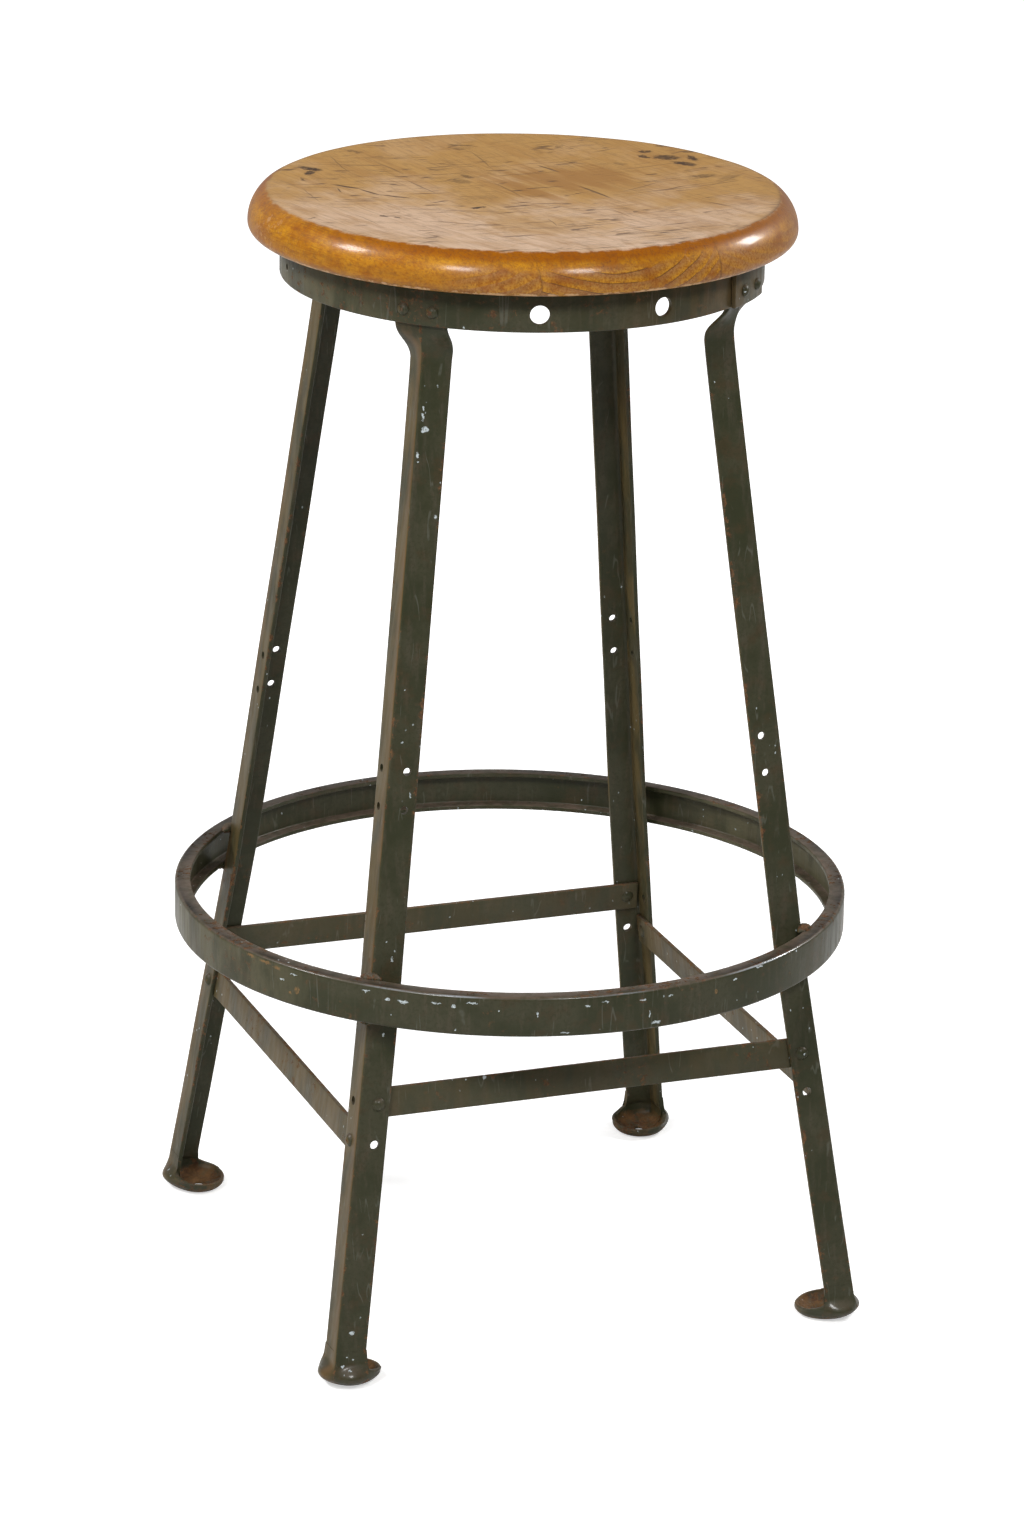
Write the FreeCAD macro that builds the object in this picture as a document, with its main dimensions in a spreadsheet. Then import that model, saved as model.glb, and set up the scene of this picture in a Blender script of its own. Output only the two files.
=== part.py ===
import FreeCAD, Part
import math
import os

import Sketcher
from FreeCAD import Placement, Rotation, Vector

# A four-legged workshop stool with a round wooden seat, all riveted and welded.
# Frame: millimetres, +Z up, origin on the floor under the middle of the seat.
# The legs stand at 45 degrees to the axes, and -Y is the front.

doc = FreeCAD.newDocument("workshop_stool")

# Driving dimensions

SIZES = {
    # round wooden seat
    "seat_radius": 171.0,
    "seat_thickness": 26.0,
    "seat_lower_round": 5.5,
    "seat_crease_inset": 11.5,
    "seat_dish_depth": 5.0,
    "seat_board_width": 115.0,
    "seat_seam_offset": 22.0,
    "seat_grain_azimuth": -73.7,
    "seat_gap": 2.0,
    # flat steel hoop under the seat
    "band_radius": 151.0,
    "band_thickness": 3.0,
    "band_height": 24.5,
    "band_bottom": 660.5,
    "band_lap_start": -8.1,
    "band_lap_end": 9.0,
    "band_joggle": 1.5,
    "band_hole_radius": 6.0,
    "band_hole_spread": 15.15,
    "band_hole_azimuth": -91.25,
    "band_hole_rise": 11.0,
    "band_small_hole_radius": 2.0,
    "band_small_hole_azimuth": 176.2,
    # angle-steel legs
    "angle_width": 20.0,
    "angle_thickness": 3.0,
    "heel_radius_floor": 252.0,
    "knee_drop": 19.5,
    "knee_jog": 3.3,
    "knee_bulge": 1.2,
    "knee_opening": 0.6,
    "tongue_half_width": 17.0,
    "tab_length": 20.0,
    "tab_half_width": 9.0,
    "mid_hole_radius": 2.5,
    "mid_hole_height": 362.0,
    "brace_hole_radius": 2.9,
    "mid_hole_pitch": 23.7,
    "lower_brace_height": 153.5,
    "brace_hole_pitch": 25.0,
    "leg_hole_inset": 12.5,
    # feet
    "pad_inset": 26.4,
    "pad_radius": 16.5,
    "pad_thickness": 3.0,
    "pad_rim_rise": 3.5,
    "pad_sole_radius": 11.0,
    "pad_hole_radius": 3.2,
    "pad_sink_radius": 5.6,
    "pad_sink_depth": 1.5,
    "foot_height": 22.0,
    "foot_neck_height": 13.0,
    "foot_neck_half_width": 14.9,
    "foot_neck_depth": 12.2,
    "foot_swell_height": 7.5,
    "foot_swell_half_width": 18.6,
    # channel foot ring
    "ring_radius": 216.0,
    "ring_bottom": 233.5,
    "ring_height": 26.0,
    "ring_flange": 10.0,
    "ring_thickness": 3.0,
    "weld_reach": 4.5,
    "weld_half_width": 9.0,
    "weld_rise": 3.6,
    "weld_overlap": 3.6,
    # flat braces between the legs
    "brace_height": 19.0,
    "brace_thickness": 3.0,
    "brace_overhang": 7.5,
    # rivets
    "band_rivet_spacing": 19.0,
    "band_rivet_rise": 9.0,
    "band_rivet_radius": 2.4,
    "band_rivet_head_radius": 3.9,
    "brace_rivet_head_radius": 4.3,
    "rivet_head_rise": 2.4,
    "rivet_tail_rise": 1.8,
    # wood screws that hold the seat
    "screw_radius": 2.2,
    "screw_head_radius": 4.4,
    "screw_head_rise": 2.6,
    "screw_bite": 17.0,
    "screw_point": 4.0,
    "screw_slot_width": 1.1,
    "screw_slot_depth": 1.3,
    # clearances
    "hole_clearance": 0.1,
    "seat_clearance": 0.1,
    "ring_clearance": 0.6,
}

sheet = doc.addObject("Spreadsheet::Sheet", "Sizes")
for row, (alias, value) in enumerate(SIZES.items(), start=1):
    sheet.set(f"A{row}", alias)
    sheet.set(f"B{row}", str(value))
    sheet.setAlias(f"B{row}", alias)
doc.recompute()


# A length that knows its number and the expression it comes from

class Size:
    """A number together with the sheet expression that gives it."""

    def __init__(self, number, text=None):
        self.number = float(number)
        self.text = text if text else repr(float(number))

    def joined(self, other, sign, number):
        return Size(number, f"({self.text} {sign} {other.text})")

    def __add__(self, other):
        other = as_size(other)
        return self.joined(other, "+", self.number + other.number)

    def __sub__(self, other):
        other = as_size(other)
        return self.joined(other, "-", self.number - other.number)

    def __mul__(self, other):
        other = as_size(other)
        return self.joined(other, "*", self.number * other.number)

    def __truediv__(self, other):
        other = as_size(other)
        return self.joined(other, "/", self.number / other.number)

    def __neg__(self):
        return Size(-self.number, f"(0 - {self.text})")

    def __rsub__(self, other):
        return as_size(other) - self

    __radd__ = __add__
    __rmul__ = __mul__


def as_size(value):
    """A plain number becomes a size of its own."""
    return value if isinstance(value, Size) else Size(value)


def root(value):
    """The square root of a size."""
    return Size(math.sqrt(value.number), f"sqrt({value.text})")


class Sheet:
    """The sheet's cells as sizes, read by alias."""

    def __getattr__(self, alias):
        return Size(sheet.get(alias), f"Sizes.{alias}")


S = Sheet()


def bind(thing, name, value):
    """Bind one property of an object, or one constraint of a sketch, to a size."""
    thing.setExpression(name, as_size(value).text)


# Derived sizes that several pieces share

DIAGONAL = math.sqrt(0.5)
FULL_TURN = 360.0
SIDE_NAMES = {-1: "right", 1: "left"}
band_inside = S.band_radius - S.band_thickness
band_top = S.band_bottom + S.band_height
seat_underside = band_top + S.seat_gap
tab_underside = seat_underside - S.angle_thickness
ring_top = S.ring_bottom + S.ring_height
bend_height = S.ring_bottom + S.ring_height / 2
knee_height = S.band_bottom - S.knee_drop
tongue_reach = band_inside - S.seat_clearance
tongue_face = root(tongue_reach * tongue_reach - S.tongue_half_width * S.tongue_half_width)
tongue_back = tongue_face - S.angle_thickness
screw_place = tongue_back - S.tab_length / 2
bend_radius = S.ring_radius - S.ring_flange - S.ring_clearance
knee_radius = tongue_face - S.knee_jog
pad_centre = S.heel_radius_floor - S.pad_inset
upper_lean = (bend_radius - knee_radius) / (knee_height - bend_height)
lower_lean = (S.heel_radius_floor - bend_radius) / bend_height
upper_brace_height = S.lower_brace_height + S.brace_hole_pitch
band_rivet_height = S.band_bottom + S.band_rivet_rise
band_rivet_side = S.band_rivet_spacing / 2
brace_shank_radius = S.brace_hole_radius - S.hole_clearance

LEG_AZIMUTHS = {"front_left": -135, "front_right": -45, "back_right": 45, "back_left": 135}
SIDES = {
    "front": (-90, upper_brace_height),
    "right": (0, S.lower_brace_height),
    "back": (90, upper_brace_height),
    "left": (180, S.lower_brace_height),
}
LAP_LEG = "front_right"


def heel_radius(height):
    """How far the outer corner of a leg stands from the stool's middle at a height."""
    if height.number < bend_height.number:
        return S.heel_radius_floor - lower_lean * height
    return bend_radius - upper_lean * (height - bend_height)


# Helpers for bodies, sketches and features

parts = {}


def new_body(label):
    """Start the body of one separate piece."""
    body = doc.addObject("PartDesign::Body", label)
    body.Label = label
    body.AllowCompound = True
    parts[label] = body
    return body


def origin_plane(body, role):
    """One of the body's own origin planes."""
    return next(feature for feature in body.Origin.OriginFeatures if feature.Role == role)


def new_sketch(body, name, role="XY_Plane", rise=0.0):
    """A sketch on an origin plane of its own body, lifted along the plane's normal."""
    sketch = body.newObject("Sketcher::SketchObject", name)
    sketch.AttachmentSupport = [(origin_plane(body, role), "")]
    sketch.MapMode = "FlatFace"
    if isinstance(rise, Size):
        sketch.AttachmentOffset = Placement(Vector(0, 0, rise.number), Rotation())
        bind(sketch, "AttachmentOffset.Base.z", rise)
    return sketch


def fix(sketch, kind, place, value):
    """Add a named distance constraint from the sketch's origin and bind it."""
    index = sketch.addConstraint(Sketcher.Constraint(kind, -1, 1, *place, as_size(value).number))
    name = f"size{index}"
    sketch.renameConstraint(index, name)
    bind(sketch, f"Constraints.{name}", value)


def outline(sketch, corners, arcs=None):
    """Close an outline through the corners.

    arcs gives, for the edge that leaves a corner, the arc's centre and whether it runs
    counter-clockwise; its centre is then fixed across ("x") or up ("y").
    """
    arcs = arcs or {}
    points = [Vector(as_size(x).number, as_size(y).number, 0) for x, y in corners]
    first = sketch.GeometryCount
    count = len(points)
    for index, start in enumerate(points):
        end = points[(index + 1) % count]
        if index in arcs:
            centre, turn, _ = arcs[index]
            middle = Vector(as_size(centre[0]).number, as_size(centre[1]).number, 0)
            sketch.addGeometry(arc_between(middle, start, end, turn), False)
        else:
            sketch.addGeometry(Part.LineSegment(start, end), False)
    begin, finish = [], []
    for index in range(count):
        forward = index not in arcs or arcs[index][1]
        begin.append((first + index, 1 if forward else 2))
        finish.append((first + index, 2 if forward else 1))
    for index in range(count):
        joint = begin[(index + 1) % count]
        sketch.addConstraint(Sketcher.Constraint("Coincident", *finish[index], *joint))
        fix(sketch, "DistanceX", begin[index], corners[index][0])
        fix(sketch, "DistanceY", begin[index], corners[index][1])
    for index, (centre, _, fixed) in arcs.items():
        if fixed == "x":
            fix(sketch, "DistanceX", (first + index, 3), centre[0])
        else:
            fix(sketch, "DistanceY", (first + index, 3), centre[1])


def arc_between(middle, start, end, turn):
    """The arc about middle from start to end, counter-clockwise where turn is true."""
    low, high = (start, end) if turn else (end, start)
    begin = math.atan2(low.y - middle.y, low.x - middle.x)
    finish = math.atan2(high.y - middle.y, high.x - middle.x)
    if finish < begin:
        finish += 2 * math.pi
    circle = Part.Circle(middle, Vector(0, 0, 1), (low - middle).Length)
    return Part.ArcOfCircle(circle, begin, finish)


def box_outline(sketch, low_x, high_x, low_y, high_y):
    """A rectangle from its four sides."""
    outline(sketch, [(low_x, low_y), (high_x, low_y), (high_x, high_y), (low_x, high_y)])


def pad(body, sketch, length, name, back=False, lean=None):
    """Extrude a sketch along its normal, or along a leaning direction."""
    feature = body.newObject("PartDesign::Pad", name)
    feature.Profile = sketch
    feature.Reversed = back
    if lean is not None:
        feature.UseCustomVector = True
        feature.Direction = lean
        feature.AlongSketchNormal = True
    bind(feature, "Length", length)
    return feature


def pocket(body, sketch, name, length=None, back=False):
    """Cut a sketch into the body, to a depth or right through both ways."""
    feature = body.newObject("PartDesign::Pocket", name)
    feature.Profile = sketch
    feature.Reversed = back
    if length is None:
        feature.Type = "ThroughAll"
        feature.Midplane = True
    else:
        bind(feature, "Length", length)
    return feature


def revolve(body, sketch, name, axis="V_Axis", angle=FULL_TURN, back=False):
    """Turn a sketch about one of its own axes."""
    feature = body.newObject("PartDesign::Revolution", name)
    feature.Profile = sketch
    feature.ReferenceAxis = (sketch, [axis])
    feature.Reversed = back
    bind(feature, "Angle", angle)
    return feature


def drill(body, name, radius, depth, placement):
    """Cut a round hole with its axis along the placement's Z axis, centred on its base."""
    feature = body.newObject("PartDesign::SubtractiveCylinder", name)
    feature.AttachmentSupport = [(origin_plane(body, "XY_Plane"), "")]
    feature.MapMode = "FlatFace"
    bind(feature, "Radius", radius)
    bind(feature, "Height", depth)
    back = placement.Rotation.multVec(Vector(0, 0, as_size(depth).number / 2))
    feature.AttachmentOffset = Placement(placement.Base - back, placement.Rotation)
    return feature


def along(direction):
    """The rotation that turns the Z axis to a direction."""
    return Rotation(Vector(0, 0, 1), direction)


def turned(azimuth, base=None):
    """A placement turned about the stool's middle."""
    return Placement(base or Vector(), Rotation(Vector(0, 0, 1), azimuth))


# Seat: boards glued edge to edge, turned round and dished on top

def seat_profile(body):
    """Half section of the whole seat, from its middle to the rounded edge."""
    sketch = new_sketch(body, "seat_section", "XZ_Plane")
    crease = S.seat_radius - S.seat_crease_inset
    rise = S.seat_thickness - S.seat_lower_round
    upper_round = (S.seat_crease_inset * S.seat_crease_inset + rise * rise) / (2 * S.seat_crease_inset)
    middle = S.seat_thickness - S.seat_dish_depth
    dish_radius = (crease * crease + S.seat_dish_depth * S.seat_dish_depth) / (2 * S.seat_dish_depth)
    corners = [
        (0, 0),
        (S.seat_radius - S.seat_lower_round, 0),
        (S.seat_radius, S.seat_lower_round),
        (crease, S.seat_thickness),
        (0, middle),
    ]
    arcs = {
        1: ((S.seat_radius - S.seat_lower_round, S.seat_lower_round), True, "y"),
        2: ((S.seat_radius - upper_round, S.seat_lower_round), True, "y"),
        3: ((0, middle + dish_radius), False, "x"),
    }
    outline(sketch, corners, arcs)
    return sketch


def board_edges():
    """The seams across the grain, and the seat's two outer edges, from one side to the other."""
    seams = [S.seat_seam_offset + S.seat_board_width * step for step in (-1, 0, 1)]
    return [-S.seat_radius] + seams + [S.seat_radius]


def make_boards():
    """One body for each board, cut from the turned seat along its seams."""
    edges = board_edges()
    beyond = S.seat_radius * 1.1
    screws = {name: azimuth - S.seat_grain_azimuth.number for name, azimuth in LEG_AZIMUTHS.items()}
    for number, (low, high) in enumerate(zip(edges, edges[1:]), start=1):
        body = new_body(f"seat_board_{number}")
        revolve(body, seat_profile(body), "turned_seat")
        doc.recompute()
        for side, edge in (("low", low), ("high", high)):
            if abs(edge.number) >= S.seat_radius.number:
                continue
            cut = new_sketch(body, f"{side}_seam")
            ends = (-beyond, edge) if side == "low" else (edge, beyond)
            box_outline(cut, -beyond, beyond, *ends)
            pocket(body, cut, f"{side}_seam_cut")
        pilot_radius = S.screw_radius + S.hole_clearance
        for name, azimuth in screws.items():
            base = turned(azimuth).multVec(Vector(screw_place.number, 0, 0))
            if base.y + pilot_radius.number < low.number or base.y - pilot_radius.number > high.number:
                continue
            depth = (S.screw_bite + S.hole_clearance) * 2
            drill(body, f"pilot_{name}", pilot_radius, depth, Placement(base, Rotation()))
        body.Placement = turned(S.seat_grain_azimuth.number, Vector(0, 0, seat_underside.number))


# Seat band: one flat strip bent to a hoop, with its ends lapped at one leg

THROUGH_BAND = S.band_thickness * 8

def make_band():
    """The hoop starts at the joggle, runs round, and its end slips under the lapped start."""
    body = new_body("seat_band")
    gap = S.seat_clearance * 2
    outer = S.band_radius + S.band_thickness + gap
    hoop = new_sketch(body, "hoop_section", "XZ_Plane")
    box_outline(hoop, band_inside, S.band_radius, 0, S.band_height)
    revolve(body, hoop, "hoop", angle=FULL_TURN - S.band_joggle)
    step = new_sketch(body, "joggle_section", "XZ_Plane")
    box_outline(step, band_inside, outer, 0, S.band_height)
    revolve(body, step, "joggle", angle=S.band_joggle)
    lap = new_sketch(body, "lap_section", "XZ_Plane")
    box_outline(lap, S.band_radius + gap, outer, 0, S.band_height)
    revolve(body, lap, "lap", angle=S.band_lap_end - S.band_lap_start, back=True)
    doc.recompute()
    start = LEG_AZIMUTHS[LAP_LEG] + S.band_lap_end.number
    rivet_radius = S.band_rivet_radius + S.hole_clearance
    for name, azimuth in LEG_AZIMUTHS.items():
        for side, side_name in SIDE_NAMES.items():
            place = band_hole(azimuth - start, side * band_rivet_side, S.band_rivet_rise)
            drill(body, f"rivet_hole_{name}_{side_name}", rivet_radius, THROUGH_BAND, place)
    azimuth = S.band_hole_azimuth
    round_holes = {
        "left_hole": (azimuth - S.band_hole_spread, S.band_hole_radius),
        "right_hole": (azimuth + S.band_hole_spread, S.band_hole_radius),
        "small_hole": (S.band_small_hole_azimuth, S.band_small_hole_radius),
    }
    for name, (azimuth, radius) in round_holes.items():
        place = band_hole(azimuth.number - start, as_size(0), S.band_hole_rise)
        drill(body, name, radius, THROUGH_BAND, place)
    body.Placement = turned(start, Vector(0, 0, S.band_bottom.number))


def band_hole(azimuth, across, rise):
    """Where a hole goes through the band, parallel to the radius at an azimuth."""
    base = Vector(S.band_radius.number, across.number, rise.number)
    return turned(azimuth) * Placement(base, along(Vector(1, 0, 0)))


# Legs: steel angle, heel outwards, opened flat at the top and forged to a dished pad at the foot

THROUGH_FLANGE = S.angle_thickness * 4
FLANGE_MIDDLE = 0.4
ROUND_MIDDLE = math.sqrt(1 - (1 - FLANGE_MIDDLE) ** 2)
SCOOP_MIDDLE = 0.9

def angle_corners(heel, half_width, depth, back_step, side_step):
    """Six corners of an angle section whose heel points outwards.

    half_width and depth place the tips of its two flanges, and the inner outline lies
    back_step inwards at the tips and side_step nearer the middle.
    """
    tip = heel - depth
    return [
        (tip, -half_width),
        (heel, 0),
        (tip, half_width),
        (tip - back_step, half_width - side_step),
        (heel - back_step - side_step, 0),
        (tip - back_step, -half_width + side_step),
    ]


def square_angle(heel):
    """The angle's own section: two flanges at a right angle."""
    flange = S.angle_width * DIAGONAL
    step = S.angle_thickness * DIAGONAL
    return angle_corners(heel, flange, flange, step, step)


def foot_outline(heel, half_width, depth, bow):
    """Five outer corners of the foot: a tip, a middle, the heel, and their mirror.

    The middle lies FLANGE_MIDDLE of the depth behind the heel. With a bow of the same
    share the side is straight, as on the angle, with ROUND_MIDDLE it is round, and with
    SCOOP_MIDDLE it is fuller than round.
    """
    tip = heel - depth
    middle = heel - depth * FLANGE_MIDDLE
    bowed = half_width * bow
    return [(tip, -half_width), (middle, -bowed), (heel, 0), (middle, bowed), (tip, half_width)]


def foot_wall(corners):
    """Ten corners: the outer outline and the same outline one wall further in."""
    step = S.angle_thickness * DIAGONAL
    shifts = [(step, step), (step, step), (step * 2, as_size(0)), (step, -step), (step, -step)]
    inner = [
        (as_size(x) - inward, as_size(y) + across)
        for (x, y), (inward, across) in zip(corners, shifts)
    ]
    return corners + inner[::-1]


def between(low, high, share):
    """The outline a share of the way from one outline to another."""
    return [
        (as_size(x1) + (as_size(x2) - x1) * share, as_size(y1) + (as_size(y2) - y1) * share)
        for (x1, y1), (x2, y2) in zip(low, high)
    ]


def add_foot(body):
    """The scoop that the flanges open into, the dished pad and the sole under both."""
    flange = S.angle_width * DIAGONAL
    ankle = foot_outline(heel_radius(S.foot_height), flange, flange, FLANGE_MIDDLE)
    neck_heel = heel_radius(S.foot_neck_height)
    neck = foot_outline(neck_heel, S.foot_neck_half_width, S.foot_neck_depth, FLANGE_MIDDLE)
    swell_heel = heel_radius(S.foot_swell_height)
    swell_depth = swell_heel - pad_centre
    swell = foot_outline(swell_heel, S.foot_swell_half_width, swell_depth, SCOOP_MIDDLE)
    sole_heel = pad_centre + S.pad_sole_radius
    sole = foot_outline(sole_heel, S.pad_sole_radius, S.pad_sole_radius, ROUND_MIDDLE)
    levels = (
        ("ankle", ankle, S.foot_height),
        ("neck", neck, S.foot_neck_height),
        ("swell", swell, S.foot_swell_height),
        ("sole", sole, 0.0),
    )
    sections = []
    for name, corners, height in levels:
        section = new_sketch(body, f"{name}_section", rise=height)
        outline(section, foot_wall(corners))
        sections.append(section)
    add_loft(body, "scoop", sections)
    top_of_plate = between(sole, swell, S.pad_thickness / S.foot_swell_height)
    plates = []
    for name, corners, height in (("plate_low", sole, 0.0), ("plate_high", top_of_plate, S.pad_thickness)):
        section = new_sketch(body, f"{name}_outline", rise=height)
        outline(section, corners)
        plates.append(section)
    add_loft(body, "floor_plate", plates)
    bowl = new_sketch(body, "pad_section", "XZ_Plane")
    bind(bowl, "AttachmentOffset.Base.x", pad_centre)
    rim = S.pad_rim_rise + S.pad_thickness
    outline(bowl, [
        (0, 0),
        (S.pad_sole_radius, 0),
        (S.pad_radius, S.pad_rim_rise),
        (S.pad_radius, rim),
        (S.pad_sole_radius, S.pad_thickness),
        (0, S.pad_thickness),
    ])
    revolve(body, bowl, "dished_pad")
    doc.recompute()
    hollow = new_sketch(body, "pad_hollow_section", "XZ_Plane")
    bind(hollow, "AttachmentOffset.Base.x", pad_centre)
    outline(hollow, [
        (0, -S.pad_thickness),
        (S.pad_hole_radius, -S.pad_thickness),
        (S.pad_hole_radius, S.pad_thickness - S.pad_sink_depth),
        (S.pad_sink_radius, S.pad_thickness),
        (S.pad_sink_radius, rim),
        (0, rim),
    ])
    groove = body.newObject("PartDesign::Groove", "countersunk_hole")
    groove.Profile = hollow
    groove.ReferenceAxis = (hollow, ["V_Axis"])
    groove.Angle = FULL_TURN


def add_loft(body, name, sections):
    """Join sketches at rising or falling heights with straight-sided faces."""
    loft = body.newObject("PartDesign::AdditiveLoft", name)
    loft.Profile = sections[0]
    loft.Sections = sections[1:]
    loft.Ruled = True


def add_tongue(body):
    """The knee where the angle opens flat, the upright tongue and the tab under the seat."""
    knee = new_sketch(body, "knee_section", rise=knee_height)
    outline(knee, square_angle(heel_radius(knee_height)))
    opening = new_sketch(body, "opening_section", rise=knee_height + S.knee_drop / 2)
    flange = S.angle_width * DIAGONAL
    heel = (heel_radius(knee_height) + tongue_face) / 2
    half_width = (S.tongue_half_width + flange) / 2 + S.knee_bulge
    depth = flange * S.knee_opening
    tilt = math.atan2(depth.number, half_width.number)
    back_step = S.angle_thickness * math.cos(tilt)
    side_step = S.angle_thickness * math.sin(tilt)
    outline(opening, angle_corners(heel, half_width, depth, back_step, side_step))
    flat = new_sketch(body, "tongue_section", rise=S.band_bottom)
    none = as_size(0)
    outline(flat, angle_corners(tongue_face, S.tongue_half_width, none, S.angle_thickness, none))
    add_loft(body, "knee", [knee, opening, flat])
    tongue = new_sketch(body, "tongue_outline", rise=S.band_bottom)
    box_outline(tongue, tongue_back, tongue_face, -S.tongue_half_width, S.tongue_half_width)
    pad(body, tongue, seat_underside - S.band_bottom, "tongue")
    tab = new_sketch(body, "tab_outline", rise=tab_underside)
    box_outline(tab, tongue_back - S.tab_length, tongue_back, -S.tab_half_width, S.tab_half_width)
    pad(body, tab, S.angle_thickness, "tab")


def flange_hole(height, lean, side):
    """Where a hole goes through one flange, square to it; side is 1 or -1."""
    heel = heel_radius(height).number
    along_flange = Vector(-DIAGONAL, side * DIAGONAL, 0) * S.leg_hole_inset.number
    inwards = Vector(-DIAGONAL, -side * DIAGONAL, 0) * S.angle_thickness.number
    base = Vector(heel, 0, height.number) + along_flange + inwards
    return Placement(base, along(Vector(1, side, lean.number)))


def add_leg_holes(body):
    """Two pairs of holes in each flange, the rivet holes of the tongue and the screw hole."""
    pairs = (
        ("mid", S.mid_hole_height, S.mid_hole_pitch, upper_lean, S.mid_hole_radius),
        ("low", S.lower_brace_height, S.brace_hole_pitch, lower_lean, S.brace_hole_radius),
    )
    for pair, height, pitch, lean, radius in pairs:
        for step, level in enumerate(("lower", "upper")):
            for side, side_name in SIDE_NAMES.items():
                place = flange_hole(height + pitch * step, lean, side)
                drill(body, f"{pair}_hole_{level}_{side_name}", radius, THROUGH_FLANGE, place)
    rivet_radius = S.band_rivet_radius + S.hole_clearance
    for side, side_name in SIDE_NAMES.items():
        base = Vector(tongue_face.number, side * band_rivet_side.number, band_rivet_height.number)
        place = Placement(base, along(Vector(1, 0, 0)))
        drill(body, f"tongue_hole_{side_name}", rivet_radius, THROUGH_FLANGE, place)
    place = Placement(Vector(screw_place.number, 0, tab_underside.number), Rotation())
    drill(body, "screw_hole", S.screw_radius + S.hole_clearance, THROUGH_FLANGE, place)


def make_leg(name, azimuth):
    """One leg, built with its heel along +X and then turned to its corner."""
    body = new_body(f"leg_{name}")
    upper = new_sketch(body, "upper_section", rise=bend_height)
    outline(upper, square_angle(bend_radius))
    pad(body, upper, knee_height - bend_height, "upper_angle", lean=Vector(-upper_lean.number, 0, 1))
    lower = new_sketch(body, "lower_section", rise=bend_height)
    outline(lower, square_angle(bend_radius))
    drop = bend_height - S.foot_height
    pad(body, lower, drop, "lower_angle", back=True, lean=Vector(-lower_lean.number, 0, 1))
    add_tongue(body)
    add_foot(body)
    doc.recompute()
    add_leg_holes(body)
    body.Placement = turned(azimuth)
    return body


# Foot ring: a channel bent to a hoop, open inwards, notched at the legs

def make_foot_ring():
    """The channel's web is outside, and its lower flange is notched for each heel."""
    body = new_body("foot_ring")
    section = new_sketch(body, "channel_section", "XZ_Plane")
    web = S.ring_radius - S.ring_thickness
    inner = S.ring_radius - S.ring_flange
    outline(section, [
        (inner, 0),
        (S.ring_radius, 0),
        (S.ring_radius, S.ring_height),
        (inner, S.ring_height),
        (inner, S.ring_height - S.ring_thickness),
        (web, S.ring_height - S.ring_thickness),
        (web, S.ring_thickness),
        (inner, S.ring_thickness),
    ])
    revolve(body, section, "channel")
    doc.recompute()
    notch = new_sketch(body, "notch_outline")
    corner = heel_radius(S.ring_bottom) + S.seat_clearance
    tip = corner - S.ring_flange
    outline(notch, [(tip, -S.ring_flange), (corner, 0), (tip, S.ring_flange)])
    cut = pocket(body, notch, "notch", S.ring_thickness * 2, back=True)
    pattern = body.newObject("PartDesign::PolarPattern", "notches")
    pattern.Originals = [cut]
    pattern.Axis = (notch, ["N_Axis"])
    pattern.Angle = FULL_TURN
    pattern.Occurrences = len(LEG_AZIMUTHS)
    body.Tip = pattern
    body.Placement = turned(LEG_AZIMUTHS[LAP_LEG], Vector(0, 0, S.ring_bottom.number))
    return body


# Weld beads: where the heel of each leg meets the two flanges of the ring

def make_welds(name, azimuth, leg, ring):
    """Two beads, over and under the ring, shaped by the leg and the ring they join."""
    beads = []
    for place, height in (("top", ring_top), ("bottom", S.ring_bottom)):
        bead = doc.addObject("Part::Ellipsoid", f"bead_{place}_{name}")
        bind(bead, "Radius1", S.weld_rise)
        bind(bead, "Radius2", S.weld_reach)
        bind(bead, "Radius3", S.weld_half_width)
        bead.Angle1 = FULL_TURN / -4
        bead.Angle2 = FULL_TURN / 4
        bead.Angle3 = FULL_TURN
        centre = heel_radius(height).number + S.weld_reach.number - S.weld_overlap.number
        turn = Rotation(Vector(0, 0, 1), azimuth)
        base = turn.multVec(Vector(centre, 0, height.number))
        bead.Placement = Placement(base, turn)
        beads.append(bead)
    both = doc.addObject("Part::Fuse", f"beads_{name}")
    both.Base, both.Tool = beads
    off_leg = doc.addObject("Part::Cut", f"beads_off_leg_{name}")
    off_leg.Base = both
    off_leg.Tool = leg
    off_ring = doc.addObject("Part::Cut", f"ring_welds_{name}")
    off_ring.Base = off_leg
    off_ring.Tool = ring
    off_ring.Label = f"ring_welds_{name}"
    parts[off_ring.Label] = off_ring


# Braces: four flat strips on the inner faces of the flanges, at two heights

def side_placement(azimuth, height):
    """A frame on the inner faces of two neighbouring legs, with its -Y pointing outwards."""
    tilt = math.degrees(math.atan(lower_lean.number * DIAGONAL))
    face = -heel_radius(height).number * DIAGONAL + S.angle_thickness.number
    turn = Placement(Vector(), Rotation(Vector(0, 0, 1), azimuth + 90))
    return turn * Placement(Vector(0, face, height.number), Rotation(Vector(1, 0, 0), -tilt))


def brace_hole_reach(height):
    """How far each rivet of a brace stands from the middle of the side."""
    return heel_radius(height) * DIAGONAL - S.leg_hole_inset


def make_brace(name, azimuth, height):
    """One strip with a rivet hole at each end."""
    body = new_body(f"brace_{name}")
    reach = brace_hole_reach(height)
    end = reach + S.brace_overhang
    strip = new_sketch(body, "strip_outline", "XZ_Plane")
    box_outline(strip, -end, end, S.brace_height / -2, S.brace_height / 2)
    pad(body, strip, S.brace_thickness, "strip", back=True)
    doc.recompute()
    for side, side_name in ((-1, "left"), (1, "right")):
        place = Placement(Vector(side * reach.number, 0, 0), along(Vector(0, 1, 0)))
        drill(body, f"hole_{side_name}", S.brace_hole_radius, S.brace_thickness * 4, place)
    body.Placement = side_placement(azimuth, height)


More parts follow.
